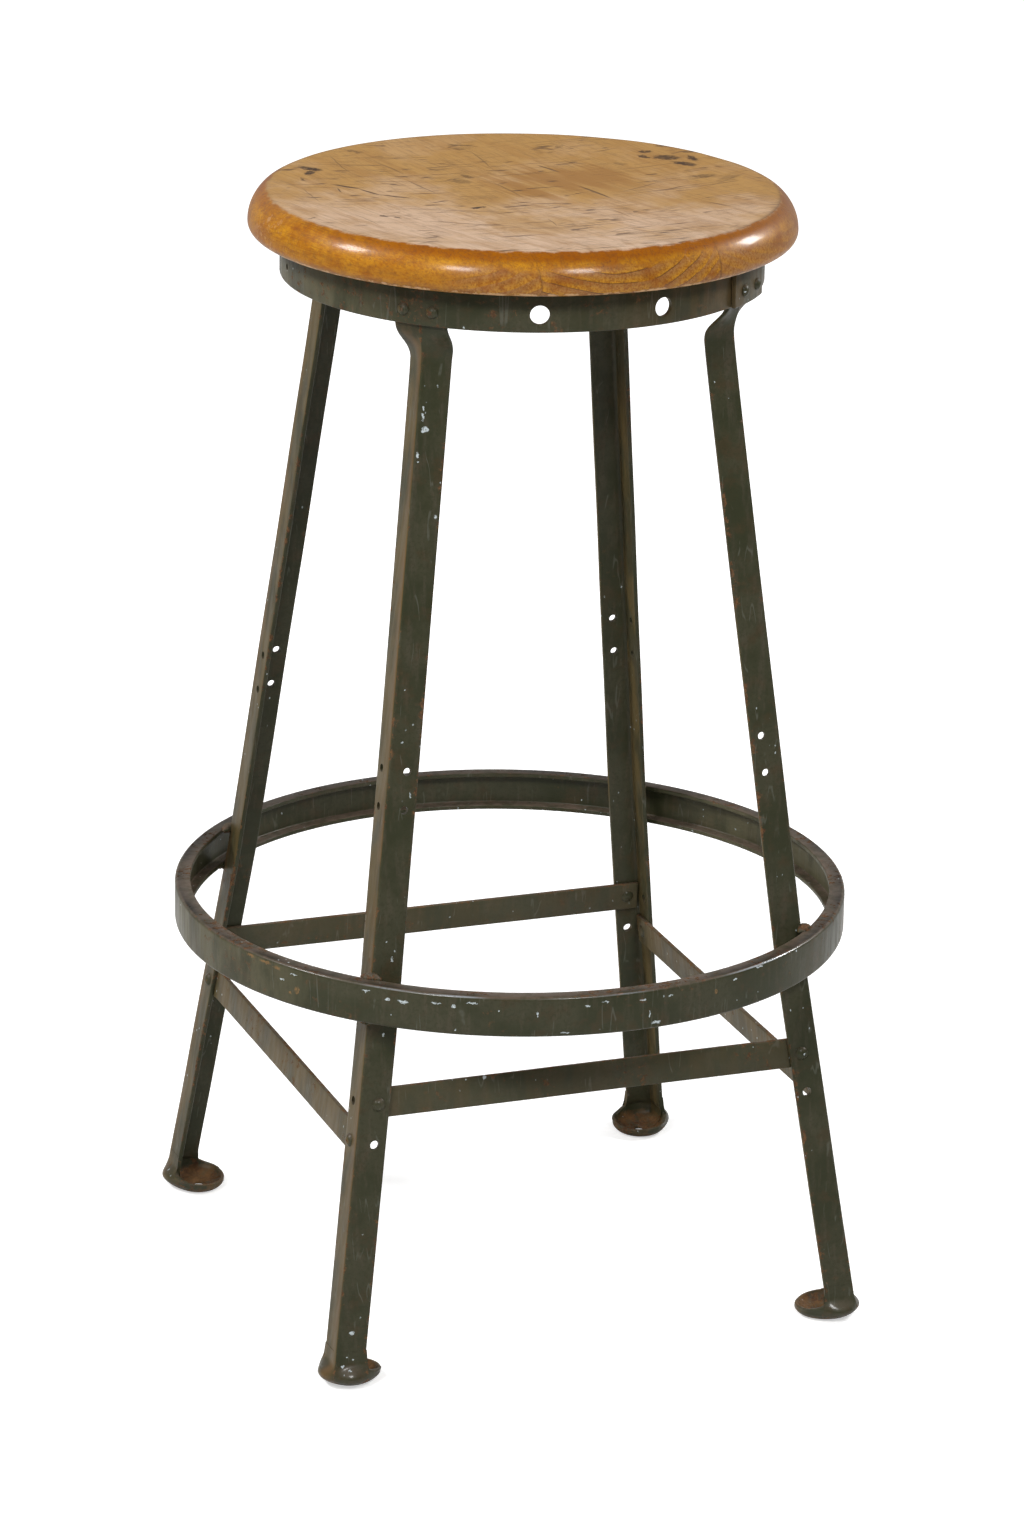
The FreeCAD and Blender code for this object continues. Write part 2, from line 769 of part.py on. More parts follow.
# Rivets: a round factory head outside and a flatter closed head inside

def rivet(body, name, across, head_at, tail_at, shank, head):
    """One rivet with its axis along the sketch's X axis, head towards +X."""
    sketch = new_sketch(body, f"{name}_section", "XZ_Plane", rise=-across)
    rise = S.rivet_head_rise
    crown = (head * head + rise * rise) / (2 * rise)
    tail_rise = S.rivet_tail_rise
    tail_crown = (head * head + tail_rise * tail_rise) / (2 * tail_rise)
    corners = [
        (tail_at - tail_rise, 0),
        (head_at + rise, 0),
        (head_at, head),
        (head_at, shank),
        (tail_at, shank),
        (tail_at, head),
    ]
    arcs = {
        1: ((head_at + rise - crown, 0), True, "y"),
        5: ((tail_at - tail_rise + tail_crown, 0), True, "y"),
    }
    outline(sketch, corners, arcs)
    return revolve(body, sketch, name, axis="H_Axis")


def make_band_rivets(name, azimuth):
    """Two rivets through the band and a leg's tongue; at the lap they hold both layers."""
    body = new_body(f"band_rivets_{name}")
    layers = S.band_thickness + S.seat_clearance * 2 if name == LAP_LEG else as_size(0)
    head_at = S.band_radius + layers
    for side, across in (("right", -band_rivet_side), ("left", band_rivet_side)):
        rivet(body, side, across, head_at, tongue_back, S.band_rivet_radius, S.band_rivet_head_radius)
    body.Placement = turned(azimuth, Vector(0, 0, band_rivet_height.number))


def make_brace_rivets(name, azimuth, height):
    """The two rivets of one brace, through a flange of each of its legs."""
    body = new_body(f"brace_rivets_{name}")
    flange = S.angle_thickness * math.cos(math.atan(lower_lean.number * DIAGONAL))
    reach = brace_hole_reach(height)
    for side, across in (("left", -reach), ("right", reach)):
        rivet(body, side, across, flange, -S.brace_thickness, brace_shank_radius, S.brace_rivet_head_radius)
    to_side = Placement(Vector(), Rotation(Vector(0, 0, 1), -90))
    body.Placement = side_placement(azimuth, height) * to_side


# Seat screws: round-headed wood screws up through the tabs into the seat

def make_seat_screw(name, azimuth):
    """One screw, with its head under the tab and its point up in the wood."""
    body = new_body(f"seat_screw_{name}")
    sketch = new_sketch(body, "screw_section", "XZ_Plane")
    head, rise = S.screw_head_radius, S.screw_head_rise
    crown = (head * head + rise * rise) / (2 * rise)
    length = S.angle_thickness + S.screw_bite
    corners = [
        (0, -rise),
        (head, 0),
        (S.screw_radius, 0),
        (S.screw_radius, length - S.screw_point),
        (0, length),
    ]
    outline(sketch, corners, {0: ((0, -rise + crown), True, "x")})
    revolve(body, sketch, "turned_screw")
    doc.recompute()
    slot = new_sketch(body, "slot_outline", rise=-rise)
    half = S.screw_slot_width / 2
    box_outline(slot, -head, head, -half, half)
    pocket(body, slot, "slot", S.screw_slot_depth, back=True)
    turn = Rotation(Vector(0, 0, 1), azimuth)
    base = turn.multVec(Vector(screw_place.number, 0, tab_underside.number))
    body.Placement = Placement(base, turn)


# Build every piece

make_boards()
make_band()
foot_ring = make_foot_ring()
for name, azimuth in LEG_AZIMUTHS.items():
    leg = make_leg(name, azimuth)
    make_welds(name, azimuth, leg, foot_ring)
    make_band_rivets(name, azimuth)
    make_seat_screw(name, azimuth)
for name, (azimuth, height) in SIDES.items():
    make_brace(name, azimuth, height)
    make_brace_rivets(name, azimuth, height)
doc.recompute()

# Check every object, then write one file for each piece

for thing in doc.Objects:
    if "Invalid" in thing.State or "Error" in thing.State:
        raise RuntimeError(f"{thing.Name} ({thing.Label}) did not build: {thing.State}")

os.makedirs("parts", exist_ok=True)
for label, piece in sorted(parts.items()):
    shape = piece.Shape
    if shape.isNull() or not shape.isValid():
        raise RuntimeError(f"{label} has no valid shape")
    shape.exportStep(f"parts/{label}.step")
    print(f"{label}: {len(shape.Solids)} solids, {shape.Volume:.0f} mm3")
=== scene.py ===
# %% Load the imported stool
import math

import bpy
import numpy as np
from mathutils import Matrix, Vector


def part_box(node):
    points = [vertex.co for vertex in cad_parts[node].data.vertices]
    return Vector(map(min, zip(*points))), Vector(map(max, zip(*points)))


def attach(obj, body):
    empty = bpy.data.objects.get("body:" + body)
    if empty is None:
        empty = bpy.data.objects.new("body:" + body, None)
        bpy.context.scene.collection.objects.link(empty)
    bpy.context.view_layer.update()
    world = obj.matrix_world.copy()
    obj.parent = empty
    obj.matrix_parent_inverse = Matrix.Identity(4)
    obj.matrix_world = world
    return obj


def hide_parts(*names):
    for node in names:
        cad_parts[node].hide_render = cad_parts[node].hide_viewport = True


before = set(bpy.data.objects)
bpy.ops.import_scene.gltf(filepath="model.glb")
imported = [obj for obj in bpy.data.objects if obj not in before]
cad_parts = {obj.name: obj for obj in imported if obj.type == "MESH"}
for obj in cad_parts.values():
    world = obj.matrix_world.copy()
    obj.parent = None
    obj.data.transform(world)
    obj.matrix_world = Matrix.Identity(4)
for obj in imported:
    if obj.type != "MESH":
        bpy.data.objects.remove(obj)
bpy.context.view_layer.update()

# %% [markdown]
# # Dressing a riveted workshop stool
# The frame that was just loaded holds every piece of the stool at its real size: four boards, a
# steel band, four legs, a foot ring, four braces, rivets, screws and weld beads. Its surfaces are
# plain. This lesson builds each visible piece again as a surface worked out with numpy, in the same
# place, and gives each one the finish that years of use have left on it.
# Lengths below are in millimetres until the last step of each piece, where they become metres.

MM = 0.001
SQUARE = math.sqrt(0.5)
UP = np.array([0.0, 0.0, 1.0])
LEG_AZIMUTHS = {"front_left": -135, "front_right": -45, "back_right": 45, "back_left": 135}
SIDE_AZIMUTHS = {"front": -90, "right": 0, "back": 90, "left": 180}
BOARDS = [f"seat_board_{number}" for number in (1, 2, 3, 4)]


def node_box(*nodes):
    """Lowest and highest corner, in millimetres, of one or more pieces of the frame."""
    lows, highs = zip(*(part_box(node) for node in nodes))
    return np.min(lows, axis=0) / MM, np.max(highs, axis=0) / MM


seat_low, seat_high = node_box(*BOARDS)
band_low, band_high = node_box("seat_band")
ring_low, ring_high = node_box("foot_ring")
print("seat from", seat_low.round(1), "to", seat_high.round(1))

# %% [markdown]
# ## The camera
# A long lens from a little above the seat: the two near legs hide nothing of the ring, and the seat
# shows as a thin ellipse. The camera stands at an azimuth about the stool's middle, looks at its
# axis, tips down and rolls a little, as a camera on a tripod does. The lens follows from the focal
# length in pixels, because the long side of a portrait frame takes the whole sensor.

# %% Camera
PHOTO_WIDTH, PHOTO_HEIGHT = 1024, 1532
SENSOR = 36.0
FOCAL_PIXELS = 5786.0
CAMERA_AZIMUTH = -110.70
CAMERA_DISTANCE, CAMERA_HEIGHT = 3.5069, 1.5364
CAMERA_PITCH, CAMERA_ROLL = 18.908, 1.153


def heading(azimuth, rise=0.0):
    """The unit vector at an azimuth and a rise above level, both in degrees."""
    turn, rise = math.radians(azimuth), math.radians(rise)
    level = np.array([math.cos(turn), math.sin(turn), 0.0])
    return level * math.cos(rise) + UP * math.sin(rise)


def level_frame(back):
    """Right, up and back of something level that looks along minus back."""
    right = np.cross(UP, back)
    right /= np.linalg.norm(right)
    return right, np.cross(back, right), back


def camera_frame():
    """Right, up, back and place of the camera: a level frame, tipped down, then rolled."""
    right, up, back = level_frame(heading(CAMERA_AZIMUTH, CAMERA_PITCH))
    c, s = math.cos(math.radians(CAMERA_ROLL)), math.sin(math.radians(CAMERA_ROLL))
    place = heading(CAMERA_AZIMUTH) * CAMERA_DISTANCE + UP * CAMERA_HEIGHT
    return c * right + s * up, c * up - s * right, back, place


def seen_at(pixel, height):
    """Where a pixel of the photograph falls on a level plane, in millimetres."""
    right, up, back, place = camera_frame()
    across = (pixel[0] - PHOTO_WIDTH / 2) / FOCAL_PIXELS
    down = (pixel[1] - PHOTO_HEIGHT / 2) / FOCAL_PIXELS
    ray = right * across - up * down - back
    return (place + ray * (height * MM - place[2]) / ray[2])[:2] / MM


def stand(name, data, right, up, back, place):
    """Put a camera or a lamp in the scene. It looks along minus back."""
    thing = bpy.data.objects.new(name, data)
    matrix = np.identity(4)
    matrix[:3] = np.stack([right, up, back, place], axis=1)
    thing.matrix_world = matrix.T.tolist()
    bpy.context.collection.objects.link(thing)
    return thing


lens = bpy.data.cameras.new("photo_camera")
lens.lens = FOCAL_PIXELS / PHOTO_HEIGHT * SENSOR
lens.sensor_width = SENSOR
lens.clip_end = 50.0
bpy.context.scene.camera = stand("photo_camera", lens, *camera_frame())
print(f"camera lens {lens.lens:.1f} mm")

# %% [markdown]
# ## From grids to meshes
# Every surface here is a grid of points P[row, column]. Neighbours on the grid make the quads, and a
# grid may close on itself in either direction, like a tube or a ring. Computing whole arrays is fast
# and keeps the shape in one formula. The sign of the enclosed volume says whether the faces look
# outwards, so no piece depends on the direction in which its grid happens to run.

# %% Grids, shells and pieces
SHARP_ANGLE = math.radians(38)


def grid_quads(rows, columns, close_rows=False, close_columns=False):
    """Corner numbers of the quads of a grid of points, as an (n, 4) array."""
    row = np.arange(rows if close_rows else rows - 1)[:, None]
    column = np.arange(columns if close_columns else columns - 1)
    below, beside = (row + 1) % rows * columns, (column + 1) % columns
    row = row * columns
    corners = [row + column, below + column, below + beside, row + beside]
    return np.stack(corners, axis=-1).reshape(-1, 4)


def shell(grid, close_rows=False):
    """A tube's quads, with a flat cap on its first and last row where it is open.

    The sum of the triple products of the quads' corners about the middle is six times the volume.
    """
    rows, columns = grid.shape[:2]
    points = grid.reshape(-1, 3)
    quads = grid_quads(rows, columns, close_rows, True)
    a, b, c, d = np.moveaxis((points - points.mean(axis=0))[quads], 1, 0)
    sixfold_volume = np.einsum("ij,ij->", a, np.cross(b, c) + np.cross(c, d))
    faces = quads.tolist()
    if not close_rows:
        last = len(points)
        faces += [list(range(columns)), list(range(last - 1, last - columns - 1, -1))]
    return points, faces if sixfold_volume > 0 else [face[::-1] for face in faces]


def make_object(name, shells):
    """One object, in metres, from one or more shells of points and faces."""
    points, faces = np.concatenate([part[0] for part in shells]) * MM, []
    first = 0
    for part_points, part_faces in shells:
        faces += [[corner + first for corner in face] for face in part_faces]
        first += len(part_points)
    mesh = bpy.data.meshes.new(name)
    mesh.from_pydata(points.tolist(), [], faces)
    mesh.update()
    thing = bpy.data.objects.new(name, mesh)
    bpy.context.collection.objects.link(thing)
    return thing


def mesh_points(piece):
    """The mesh's points in millimetres, as an (n, 3) array."""
    points = np.empty(len(piece.data.vertices) * 3)
    piece.data.vertices.foreach_get("co", points)
    return points.reshape(-1, 3) / MM


def keep_values(piece, **values):
    """Store numbers for each point of the mesh, under their names, for the material to read."""
    for name, numbers in values.items():
        layer = piece.data.attributes.new(name, "FLOAT", "POINT")
        layer.data.foreach_set("value", np.clip(numbers, 0.0, 1.0).astype(np.float32))


def hand_over(piece, material, slot, *nodes):
    """Smooth shading, its material, and its place in the frame: what it stands for and rides on."""
    piece.data.shade_smooth()
    piece.data.set_sharp_from_angle(angle=SHARP_ANGLE)
    piece.data.materials.clear()
    piece.data.materials.append(material)
    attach(piece, "root")
    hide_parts(*nodes)
    print(f"{piece.name}: {len(piece.data.polygons)} faces")


def turned(points, degrees):
    """Points turned about the stool's upright axis."""
    c, s = math.cos(math.radians(degrees)), math.sin(math.radians(degrees))
    return points @ np.array([[c, s, 0], [-s, c, 0], [0, 0, 1]])


def around(points):
    """Distance from the stool's axis, and azimuth in degrees."""
    return np.hypot(points[:, 0], points[:, 1]), np.degrees(np.arctan2(points[:, 1], points[:, 0]))


def smooth_step(low, high, value):
    """0 below low, 1 above high, and 3t^2 - 2t^3 between."""
    t = np.clip((value - low) / (high - low), 0.0, 1.0)
    return t * t * (3 - 2 * t)


def bell(value, middle, width):
    """1 in the middle, falling to a third one width away from it."""
    return np.exp(-((value - middle) / width) ** 2)


def unevenness(seed, *coordinates, waves=5, length=30.0):
    """Gentle unevenness between about -1 and 1: a sum of sine waves in random directions."""
    chance = np.random.default_rng(seed)
    total = 0.0
    for _ in range(waves):
        steps = chance.normal(size=len(coordinates)) * 2 * math.pi / length
        phase = chance.uniform(0, 2 * math.pi)
        total = total + np.sin(sum(step * value for step, value in zip(steps, coordinates)) + phase)
    return total / waves

# %% [markdown]
# ## Node materials in a few words
# A material is a graph, and most of its nodes do one of five things: read a place, make noise, bend
# a number, mix two colours or shape the surface. A small class with one short method for each keeps
# a finish readable as a recipe, and every recipe below starts from the place on the object itself.
# Noise has most of its values between 0.36 and 0.64, so the ramps that read it are narrow.

# %% A class for finishes
class Finish:
    """A material under construction. Each method adds nodes and returns their output."""

    def __init__(self, name):
        self.material = bpy.data.materials.new(name)
        self.material.use_nodes = True
        self.tree = self.material.node_tree
        self.shader = self.tree.nodes["Principled BSDF"]
        self.place = self.add("TexCoord").outputs["Object"]

    def add(self, kind, inputs=None, **settings):
        node = self.tree.nodes.new("ShaderNode" + kind)
        for name, value in settings.items():
            setattr(node, name, value)
        for name, value in (inputs or {}).items():
            self.feed(node.inputs[name], value)
        return node

    def feed(self, socket, value):
        if isinstance(value, bpy.types.NodeSocket):
            self.tree.links.new(value, socket)
        elif socket.type == "RGBA":
            socket.default_value = (*value[:3], 1.0)
        else:
            socket.default_value = value

    def moved(self, place=None, shift=(0, 0, 0), turn=0.0, scale=(1, 1, 1)):
        """Coordinates shifted, turned about the upright (degrees) and stretched."""
        inputs = {"Vector": place or self.place, "Location": shift,
                  "Rotation": (0, 0, math.radians(turn)), "Scale": scale}
        return self.add("Mapping", inputs).outputs["Vector"]

    def noise(self, size, place=None, detail=3.0, rough=0.5, bend=0.0, output=0):
        """Cloudy noise between 0 and 1, with blotches about size millimetres across."""
        inputs = {"Vector": place or self.place, "Scale": 1 / (size * MM), "Detail": detail,
                  "Roughness": rough, "Distortion": bend}
        return self.add("TexNoise", inputs).outputs[output]

    def value(self, name):
        """A number stored on the mesh's points."""
        return self.add("Attribute", attribute_name=name).outputs["Fac"]

    def math(self, operation, *values):
        node = self.add("Math", operation=operation)
        for socket, value in zip(node.inputs, values):
            self.feed(socket, value)
        return node.outputs[0]

    def sum(self, first, second):
        return self.math("ADD", first, second)

    def times(self, first, *others):
        for other in others:
            first = self.math("MULTIPLY", first, other)
        return first

    def vector(self, operation, first, second=(0, 0, 0)):
        return self.add("VectorMath", {0: first, 1: second}, operation=operation).outputs["Vector"]

    def length(self, place):
        return self.add("VectorMath", {0: place}, operation="LENGTH").outputs["Value"]

    def axis(self, place, name):
        return self.add("SeparateXYZ", {"Vector": place}).outputs[name]

    def ramp(self, value, low, high, start=0.0, end=1.0):
        """A number eased from start to end while value goes from low to high."""
        inputs = {"Value": value, "From Min": low, "From Max": high, "To Min": start, "To Max": end}
        return self.add("MapRange", inputs, interpolation_type="SMOOTHSTEP").outputs["Result"]

    def clouds(self, size, bounds, **shape):
        """Noise through a ramp. The bounds are the ramp's low and high, then its start and end."""
        return self.ramp(self.noise(size, **shape), *bounds)

    def mix(self, share, first, second):
        """A colour between two others."""
        node = self.add("Mix", data_type="RGBA")
        for number, value in ((0, share), (6, first), (7, second)):
            self.feed(node.inputs[number], value)
        return node.outputs[2]

    def wash(self, under, over, size, bounds, **shape):
        """A colour with clouds of another over it."""
        return self.mix(self.clouds(size, bounds, **shape), under, over)

    def specks(self, size, share, place, roundness):
        """Scattered dots: the middle of a share of the cells of a cell pattern."""
        cells = self.add("TexVoronoi", {"Vector": place, "Scale": 1 / (size * MM)})
        near = self.ramp(cells.outputs["Distance"], roundness, roundness * 0.6)
        lot = self.axis(cells.outputs["Color"], "X")
        return self.times(near, self.ramp(lot, share, share * 0.8))

    def mark(self, middle, radii, turn=0.0, place=None, soft=0.35):
        """1 inside an ellipsoid (millimetres, turned about the upright) and 0 outside, softly."""
        inputs = {"Vector": place or self.place, "Location": [value * MM for value in middle],
                  "Rotation": (0, 0, math.radians(turn)), "Scale": [value * MM for value in radii]}
        inside = self.add("Mapping", inputs, vector_type="TEXTURE").outputs["Vector"]
        return self.ramp(self.length(inside), 1.0, 1.0 - soft)

    def strongest(self, masks):
        """The largest of several masks, joined in pairs."""
        while len(masks) > 1:
            masks = [self.math("MAXIMUM", *masks[i:i + 2]) if i + 1 < len(masks) else masks[i]
                     for i in range(0, len(masks), 2)]
        return masks[0]

    def shaken(self, size, reach, place=None):
        """Coordinates pushed about by noise, up to reach millimetres, to roughen an outline."""
        push = self.vector("SUBTRACT", self.noise(size, place, output=1), (0.5, 0.5, 0.5))
        push = self.vector("MULTIPLY", push, (2 * reach * MM,) * 3)
        return self.vector("ADD", place or self.place, push)

    def lines(self, noise, width, edge):
        """Thin wavering lines where a noise crosses one half."""
        return self.ramp(self.math("ABSOLUTE", self.sum(noise, -0.5)), width, edge)

    def finish(self, colour, roughness, bump, depth, **sockets):
        """Connect the recipe: bump is a height between 0 and 1, depth is its size in millimetres."""
        bump = self.add("Bump", {"Height": bump, "Distance": depth * MM, "Strength": 1.0})
        sockets |= {"base_color": colour, "roughness": roughness, "normal": bump.outputs["Normal"]}
        for name, value in sockets.items():
            self.feed(self.shader.inputs[name.replace("_", " ").title().replace("Ior", "IOR")], value)
        return self.material

# %% [markdown]
# ## Old olive paint on steel
# The frame was brushed or dipped in a dark olive paint long ago. Hands and shoes have rubbed the
# corners down to brown primer and rust, dust has baked into the faces that look up, and splashes of
# pale paint are scattered all over. One recipe serves every steel piece: only its shares of rust,
# dust, splashes and gloss differ. Where the paint is thin is a number stored on each mesh, because
# it follows the edges of the piece and not any direction in space.

# %% Steel finish
OLIVE, OLIVE_GREY, UMBER = (0.034, 0.036, 0.017), (0.052, 0.050, 0.028), (0.056, 0.040, 0.019)
# the first two are thin brown coats on faces to the west that also paint the warm light of a lamp there
FILM_AND_WARM_LIGHT, GREEN_FILM_AND_WARM_LIGHT, FADED = (0.112, 0.080, 0.032), (0.100, 0.090, 0.050), (0.080, 0.078, 0.048)
# GRIME_AND_SHADE is near black, for dirt and for painted shade along the ring's outer top edge
GRIME_AND_SHADE, DUST, RUBBED = (0.012, 0.010, 0.008), (0.120, 0.088, 0.066), (0.130, 0.130, 0.105)
RUST_DARK, RUST_BRIGHT = (0.070, 0.034, 0.018), (0.200, 0.095, 0.038)
THIN_RUST, CHIP_RUST = (0.150, 0.082, 0.030), (0.230, 0.128, 0.048)
# BARE_STEEL_HIGHLIGHT is a bluish grey for rubbed steel and for a painted highlight on the ring's top
# corner
PALE_SPLASH, BARE_STEEL_HIGHLIGHT = (0.60, 0.67, 0.69), (0.36, 0.40, 0.44)


def old_paint(steel, runs, faded, film_and_warm_light, dust):
    """Two olives, umber clouds, runs; a thin brown coat and painted warm light to the west, dust on faces
    above.
    """
    paint = steel.mix(steel.clouds(55, (0.40, 0.60), detail=5, rough=0.6), OLIVE, OLIVE_GREY)
    paint = steel.wash(paint, UMBER, 17, (0.50, 0.66, 0.0, 0.65), detail=5, rough=0.65)
    paint = steel.mix(steel.ramp(runs, 0.50, 0.66, 0.0, 0.18), paint, DUST)
    paint = steel.wash(paint, OLIVE, 2.2, (0.38, 0.52, 0.5, 0.0), detail=4, rough=0.7)
    paint = steel.mix(faded, paint, FADED)
    facing = steel.add("NewGeometry").outputs["Normal"]
    # painted warm light: faces to the west get a thin brown coat that also stands in for light from the
    # left lamp
    west = steel.ramp(steel.axis(facing, "X"), -0.70, -0.98)
    tall = steel.moved(scale=(1, 1, 0.4))
    cloudy = steel.clouds(22, (0.38, 0.58, 0.15, 1.0), place=tall, detail=5, rough=0.6)
    paint = steel.mix(steel.times(west, cloudy, 0.9), paint, film_and_warm_light)
    settled = steel.clouds(9, (0.38, 0.58, 0.35, 1.0), detail=5, rough=0.7)
    above = steel.ramp(steel.axis(facing, "Z"), 0.3, 0.95)
    return steel.mix(steel.times(above, settled, dust), paint, DUST)


def splash_mask(steel, share, blobs):
    """Fine and coarse drops by chance, and the blobs that have a place of their own."""
    ragged = steel.shaken(2.2, 1.1, steel.moved(scale=(1, 1, 0.7)))
    fine = steel.specks(4.2, share * 2.4, ragged, 0.15)
    fine = steel.times(fine, steel.clouds(42, (0.50, 0.57), detail=2))
    coarse = steel.specks(24, share, ragged, 0.055)
    drops = [steel.mark(*blob, steel.shaken(1.8, 1.5), 0.25) for blob in blobs]
    return steel.strongest([fine, coarse, *drops])


def steel_finish(name, rust=0.4, dust=0.5, splashes=0.12, gloss=0.40, faded=0.0, film_and_warm_light=FILM_AND_WARM_LIGHT,
                 blobs=(), chips=()):
    """Layers from the paint out: wear, rubbed lines, dirt and painted shade, polish and painted highlight,
    rust, splashes.
    """
    steel = Finish(name)
    runs = steel.noise(5, steel.moved(scale=(1, 1, 0.12)), detail=4, rough=0.6)
    paint = old_paint(steel, runs, faded, film_and_warm_light, dust)
    patchy = steel.clouds(5, (0.36, 0.64, -0.45, 0.45), detail=6, rough=0.7)
    broad = steel.clouds(38, (0.38, 0.62, -0.22, 0.2))
    worn = steel.sum(steel.sum(steel.value("wear"), patchy), broad)
    bare = steel.ramp(worn, 0.85 - rust * 0.7, 1.2 - rust * 0.7, 0.0, 0.9)
    grain = steel.noise(2.4, detail=5, rough=0.75)
    colour = steel.mix(bare, paint, steel.mix(steel.ramp(grain, 0.38, 0.68), RUST_DARK, RUST_BRIGHT))
    rubbed = steel.noise(9, steel.moved(scale=(1, 1, 0.08)), detail=2, rough=0.4)
    where = steel.clouds(18, (0.52, 0.60), place=steel.moved(shift=(7, 3, 1)))
    colour = steel.mix(steel.times(steel.lines(rubbed, 0.016, 0.004), where, 0.4), colour, RUBBED)
    # dirt, and painted shade: a dark line along the ring's outer top edge, and a darker top towards its
    # back
    colour = steel.mix(steel.value("grime"), colour, GRIME_AND_SHADE)
    # painted highlight: a bluish-grey line where the polish is strong, on the ring's outer top corner
    painted_highlight = steel.ramp(steel.value("polish_and_highlight"), 0.3, 1.0)
    colour = steel.mix(steel.times(painted_highlight, steel.ramp(grain, 0.36, 0.50, 0.3, 0.7)), colour, BARE_STEEL_HIGHLIGHT)
    warm = steel.clouds(12, (0.38, 0.56, 0.2, 1.0), place=steel.moved(scale=(1, 1, 0.3)), detail=4)
    colour = steel.mix(steel.times(steel.value("tan"), warm), colour, THIN_RUST)
    chipped = steel.clouds(1.4, (0.40, 0.50, 0.2, 0.85), detail=4, rough=0.7)
    if chips:
        spots = [steel.mark(*chip, steel.shaken(2.4, 2.0), 0.5) for chip in chips]
        colour = steel.mix(steel.times(steel.strongest(spots), chipped), colour, CHIP_RUST)
    colour = steel.mix(steel.times(splash_mask(steel, splashes, blobs), chipped), colour, PALE_SPLASH)
    height = steel.sum(steel.times(steel.noise(1.6, detail=4), 0.3), steel.times(bare, grain, 0.8))
    height = steel.sum(height, steel.times(steel.noise(14, detail=2), 0.7))
    roughness = steel.ramp(bare, 0.0, 1.0, gloss, 0.8)
    roughness = steel.sum(roughness, steel.ramp(runs, 0.38, 0.62, -0.06, 0.08))
    return steel.finish(colour, roughness, height, 0.16, specular_ior_level=0.18, sheen_weight=0.03,
                        sheen_roughness=0.4, sheen_tint=(1.0, 0.82, 0.58),
                        coat_weight=steel.value("polish_and_highlight"), coat_roughness=0.16)


band_steel = steel_finish("olive_paint_on_band", 0.22, 0.4, splashes=0.06, gloss=0.36, film_and_warm_light=GREEN_FILM_AND_WARM_LIGHT)
brace_steel = steel_finish("olive_paint_on_braces", 0.34, 0.8, faded=0.35)
rivet_steel = steel_finish("rivet_paint", 0.3, 0.7, gloss=0.32)
weld_steel = steel_finish("rusty_weld", 0.4, 0.9, splashes=0.05, gloss=0.6)
print("steel finishes:", [steel.name for steel in (band_steel, brace_steel, rivet_steel, weld_steel)])

# %% [markdown]
# ## Strips
# The band, the braces and the tabs of the legs are all the same stock: flat bar with slightly
# rounded edges. A strip is a rounded rectangle carried along a path. At each station of the path two
# directions span the section, one across the strip's width and one through its thickness.

# %% A strip along a path
EDGE_ROUND = 0.7
CORNER_STEPS = 4
STOCK = 3.0


def strip(path, across, through, half_width, thickness=STOCK):
    """A closed shell of flat bar: point = path + across * u + through * v around each section.

    The offsets u and v run around four quarter circles, and the sections at both ends are smaller.
    """
    half_width, half_thick = (np.broadcast_to(size, len(path)).astype(float).copy()
                              for size in (half_width, thickness / 2))
    for half in (half_width, half_thick):
        half[[0, -1]] -= EDGE_ROUND * 0.6
    quarter = np.linspace(0, math.pi / 2, CORNER_STEPS)
    angle = np.concatenate([quarter + math.pi / 2 * corner for corner in range(4)])
    u = np.repeat([1, -1, -1, 1], CORNER_STEPS) * (half_width - EDGE_ROUND)[:, None]
    v = np.repeat([1, 1, -1, -1], CORNER_STEPS) * (half_thick - EDGE_ROUND)[:, None]
    u, v = u + EDGE_ROUND * np.cos(angle), v + EDGE_ROUND * np.sin(angle)
    return shell(path[:, None] + across[:, None] * u[..., None] + through[:, None] * v[..., None])


def with_round_ends(values, step=0.45):
    """The same stations with one more just inside each end, where the rounded end starts."""
    return np.concatenate([[values[0], values[0] + step], values[1:-1], [values[-1] - step, values[-1]]])


def cut_away(piece, cutters):
    """Take the cutters out of a piece with one exact Boolean, and keep the result as its mesh."""
    modifier = piece.modifiers.new("holes", "BOOLEAN")
    modifier.solver = "EXACT"
    modifier.object = make_object("cutter", cutters)
    whole = piece.evaluated_get(bpy.context.evaluated_depsgraph_get())
    mesh = bpy.data.meshes.new_from_object(whole)
    bpy.data.objects.remove(modifier.object)
    piece.modifiers.clear()
    piece.data = mesh


def drill_bit(middle, direction, radius, length):
    """A round cutter: a circle of 40 points carried along its axis."""
    direction = np.asarray(direction, float) / np.linalg.norm(direction)
    side = np.cross(direction, (0.3, 0.2, 0.9))
    side /= np.linalg.norm(side)
    angle = np.linspace(0, 2 * math.pi, 41)[:-1, None]
    circle = radius * (np.cos(angle) * side + np.sin(angle) * np.cross(direction, side))
    ends = np.array([[-0.5], [0.5]]) * direction * length + np.asarray(middle, float)
    return shell(ends[:, None] + circle)

# %% [markdown]
# ## The seat band
# One flat bar bent to a hoop. Its start steps outwards and laps over its own end at the front right
# leg, so both layers can be riveted there. As a path it is a spiral that is a circle nearly all the
# way, with a smooth step of one thickness just before the lap. Two big holes at the front and a
# small one at the left go right through.

# %% Band
LAP_CLEARANCE = 0.2
LAP_START, LAP_STEP, LAP_STEP_END, HOOP_END = -53.1, -37.3, -34.4, 322.5
BAND_HOLES = ((-106.4, 6.0), (-76.1, 6.0), (176.2, 2.0))
BAND_HOLE_RISE = 11.0
RUSTY_AZIMUTH, RUSTY_SPREAD = -58, 26
band_radius = -band_low[0]
band_middle = (band_low[2] + band_high[2]) / 2


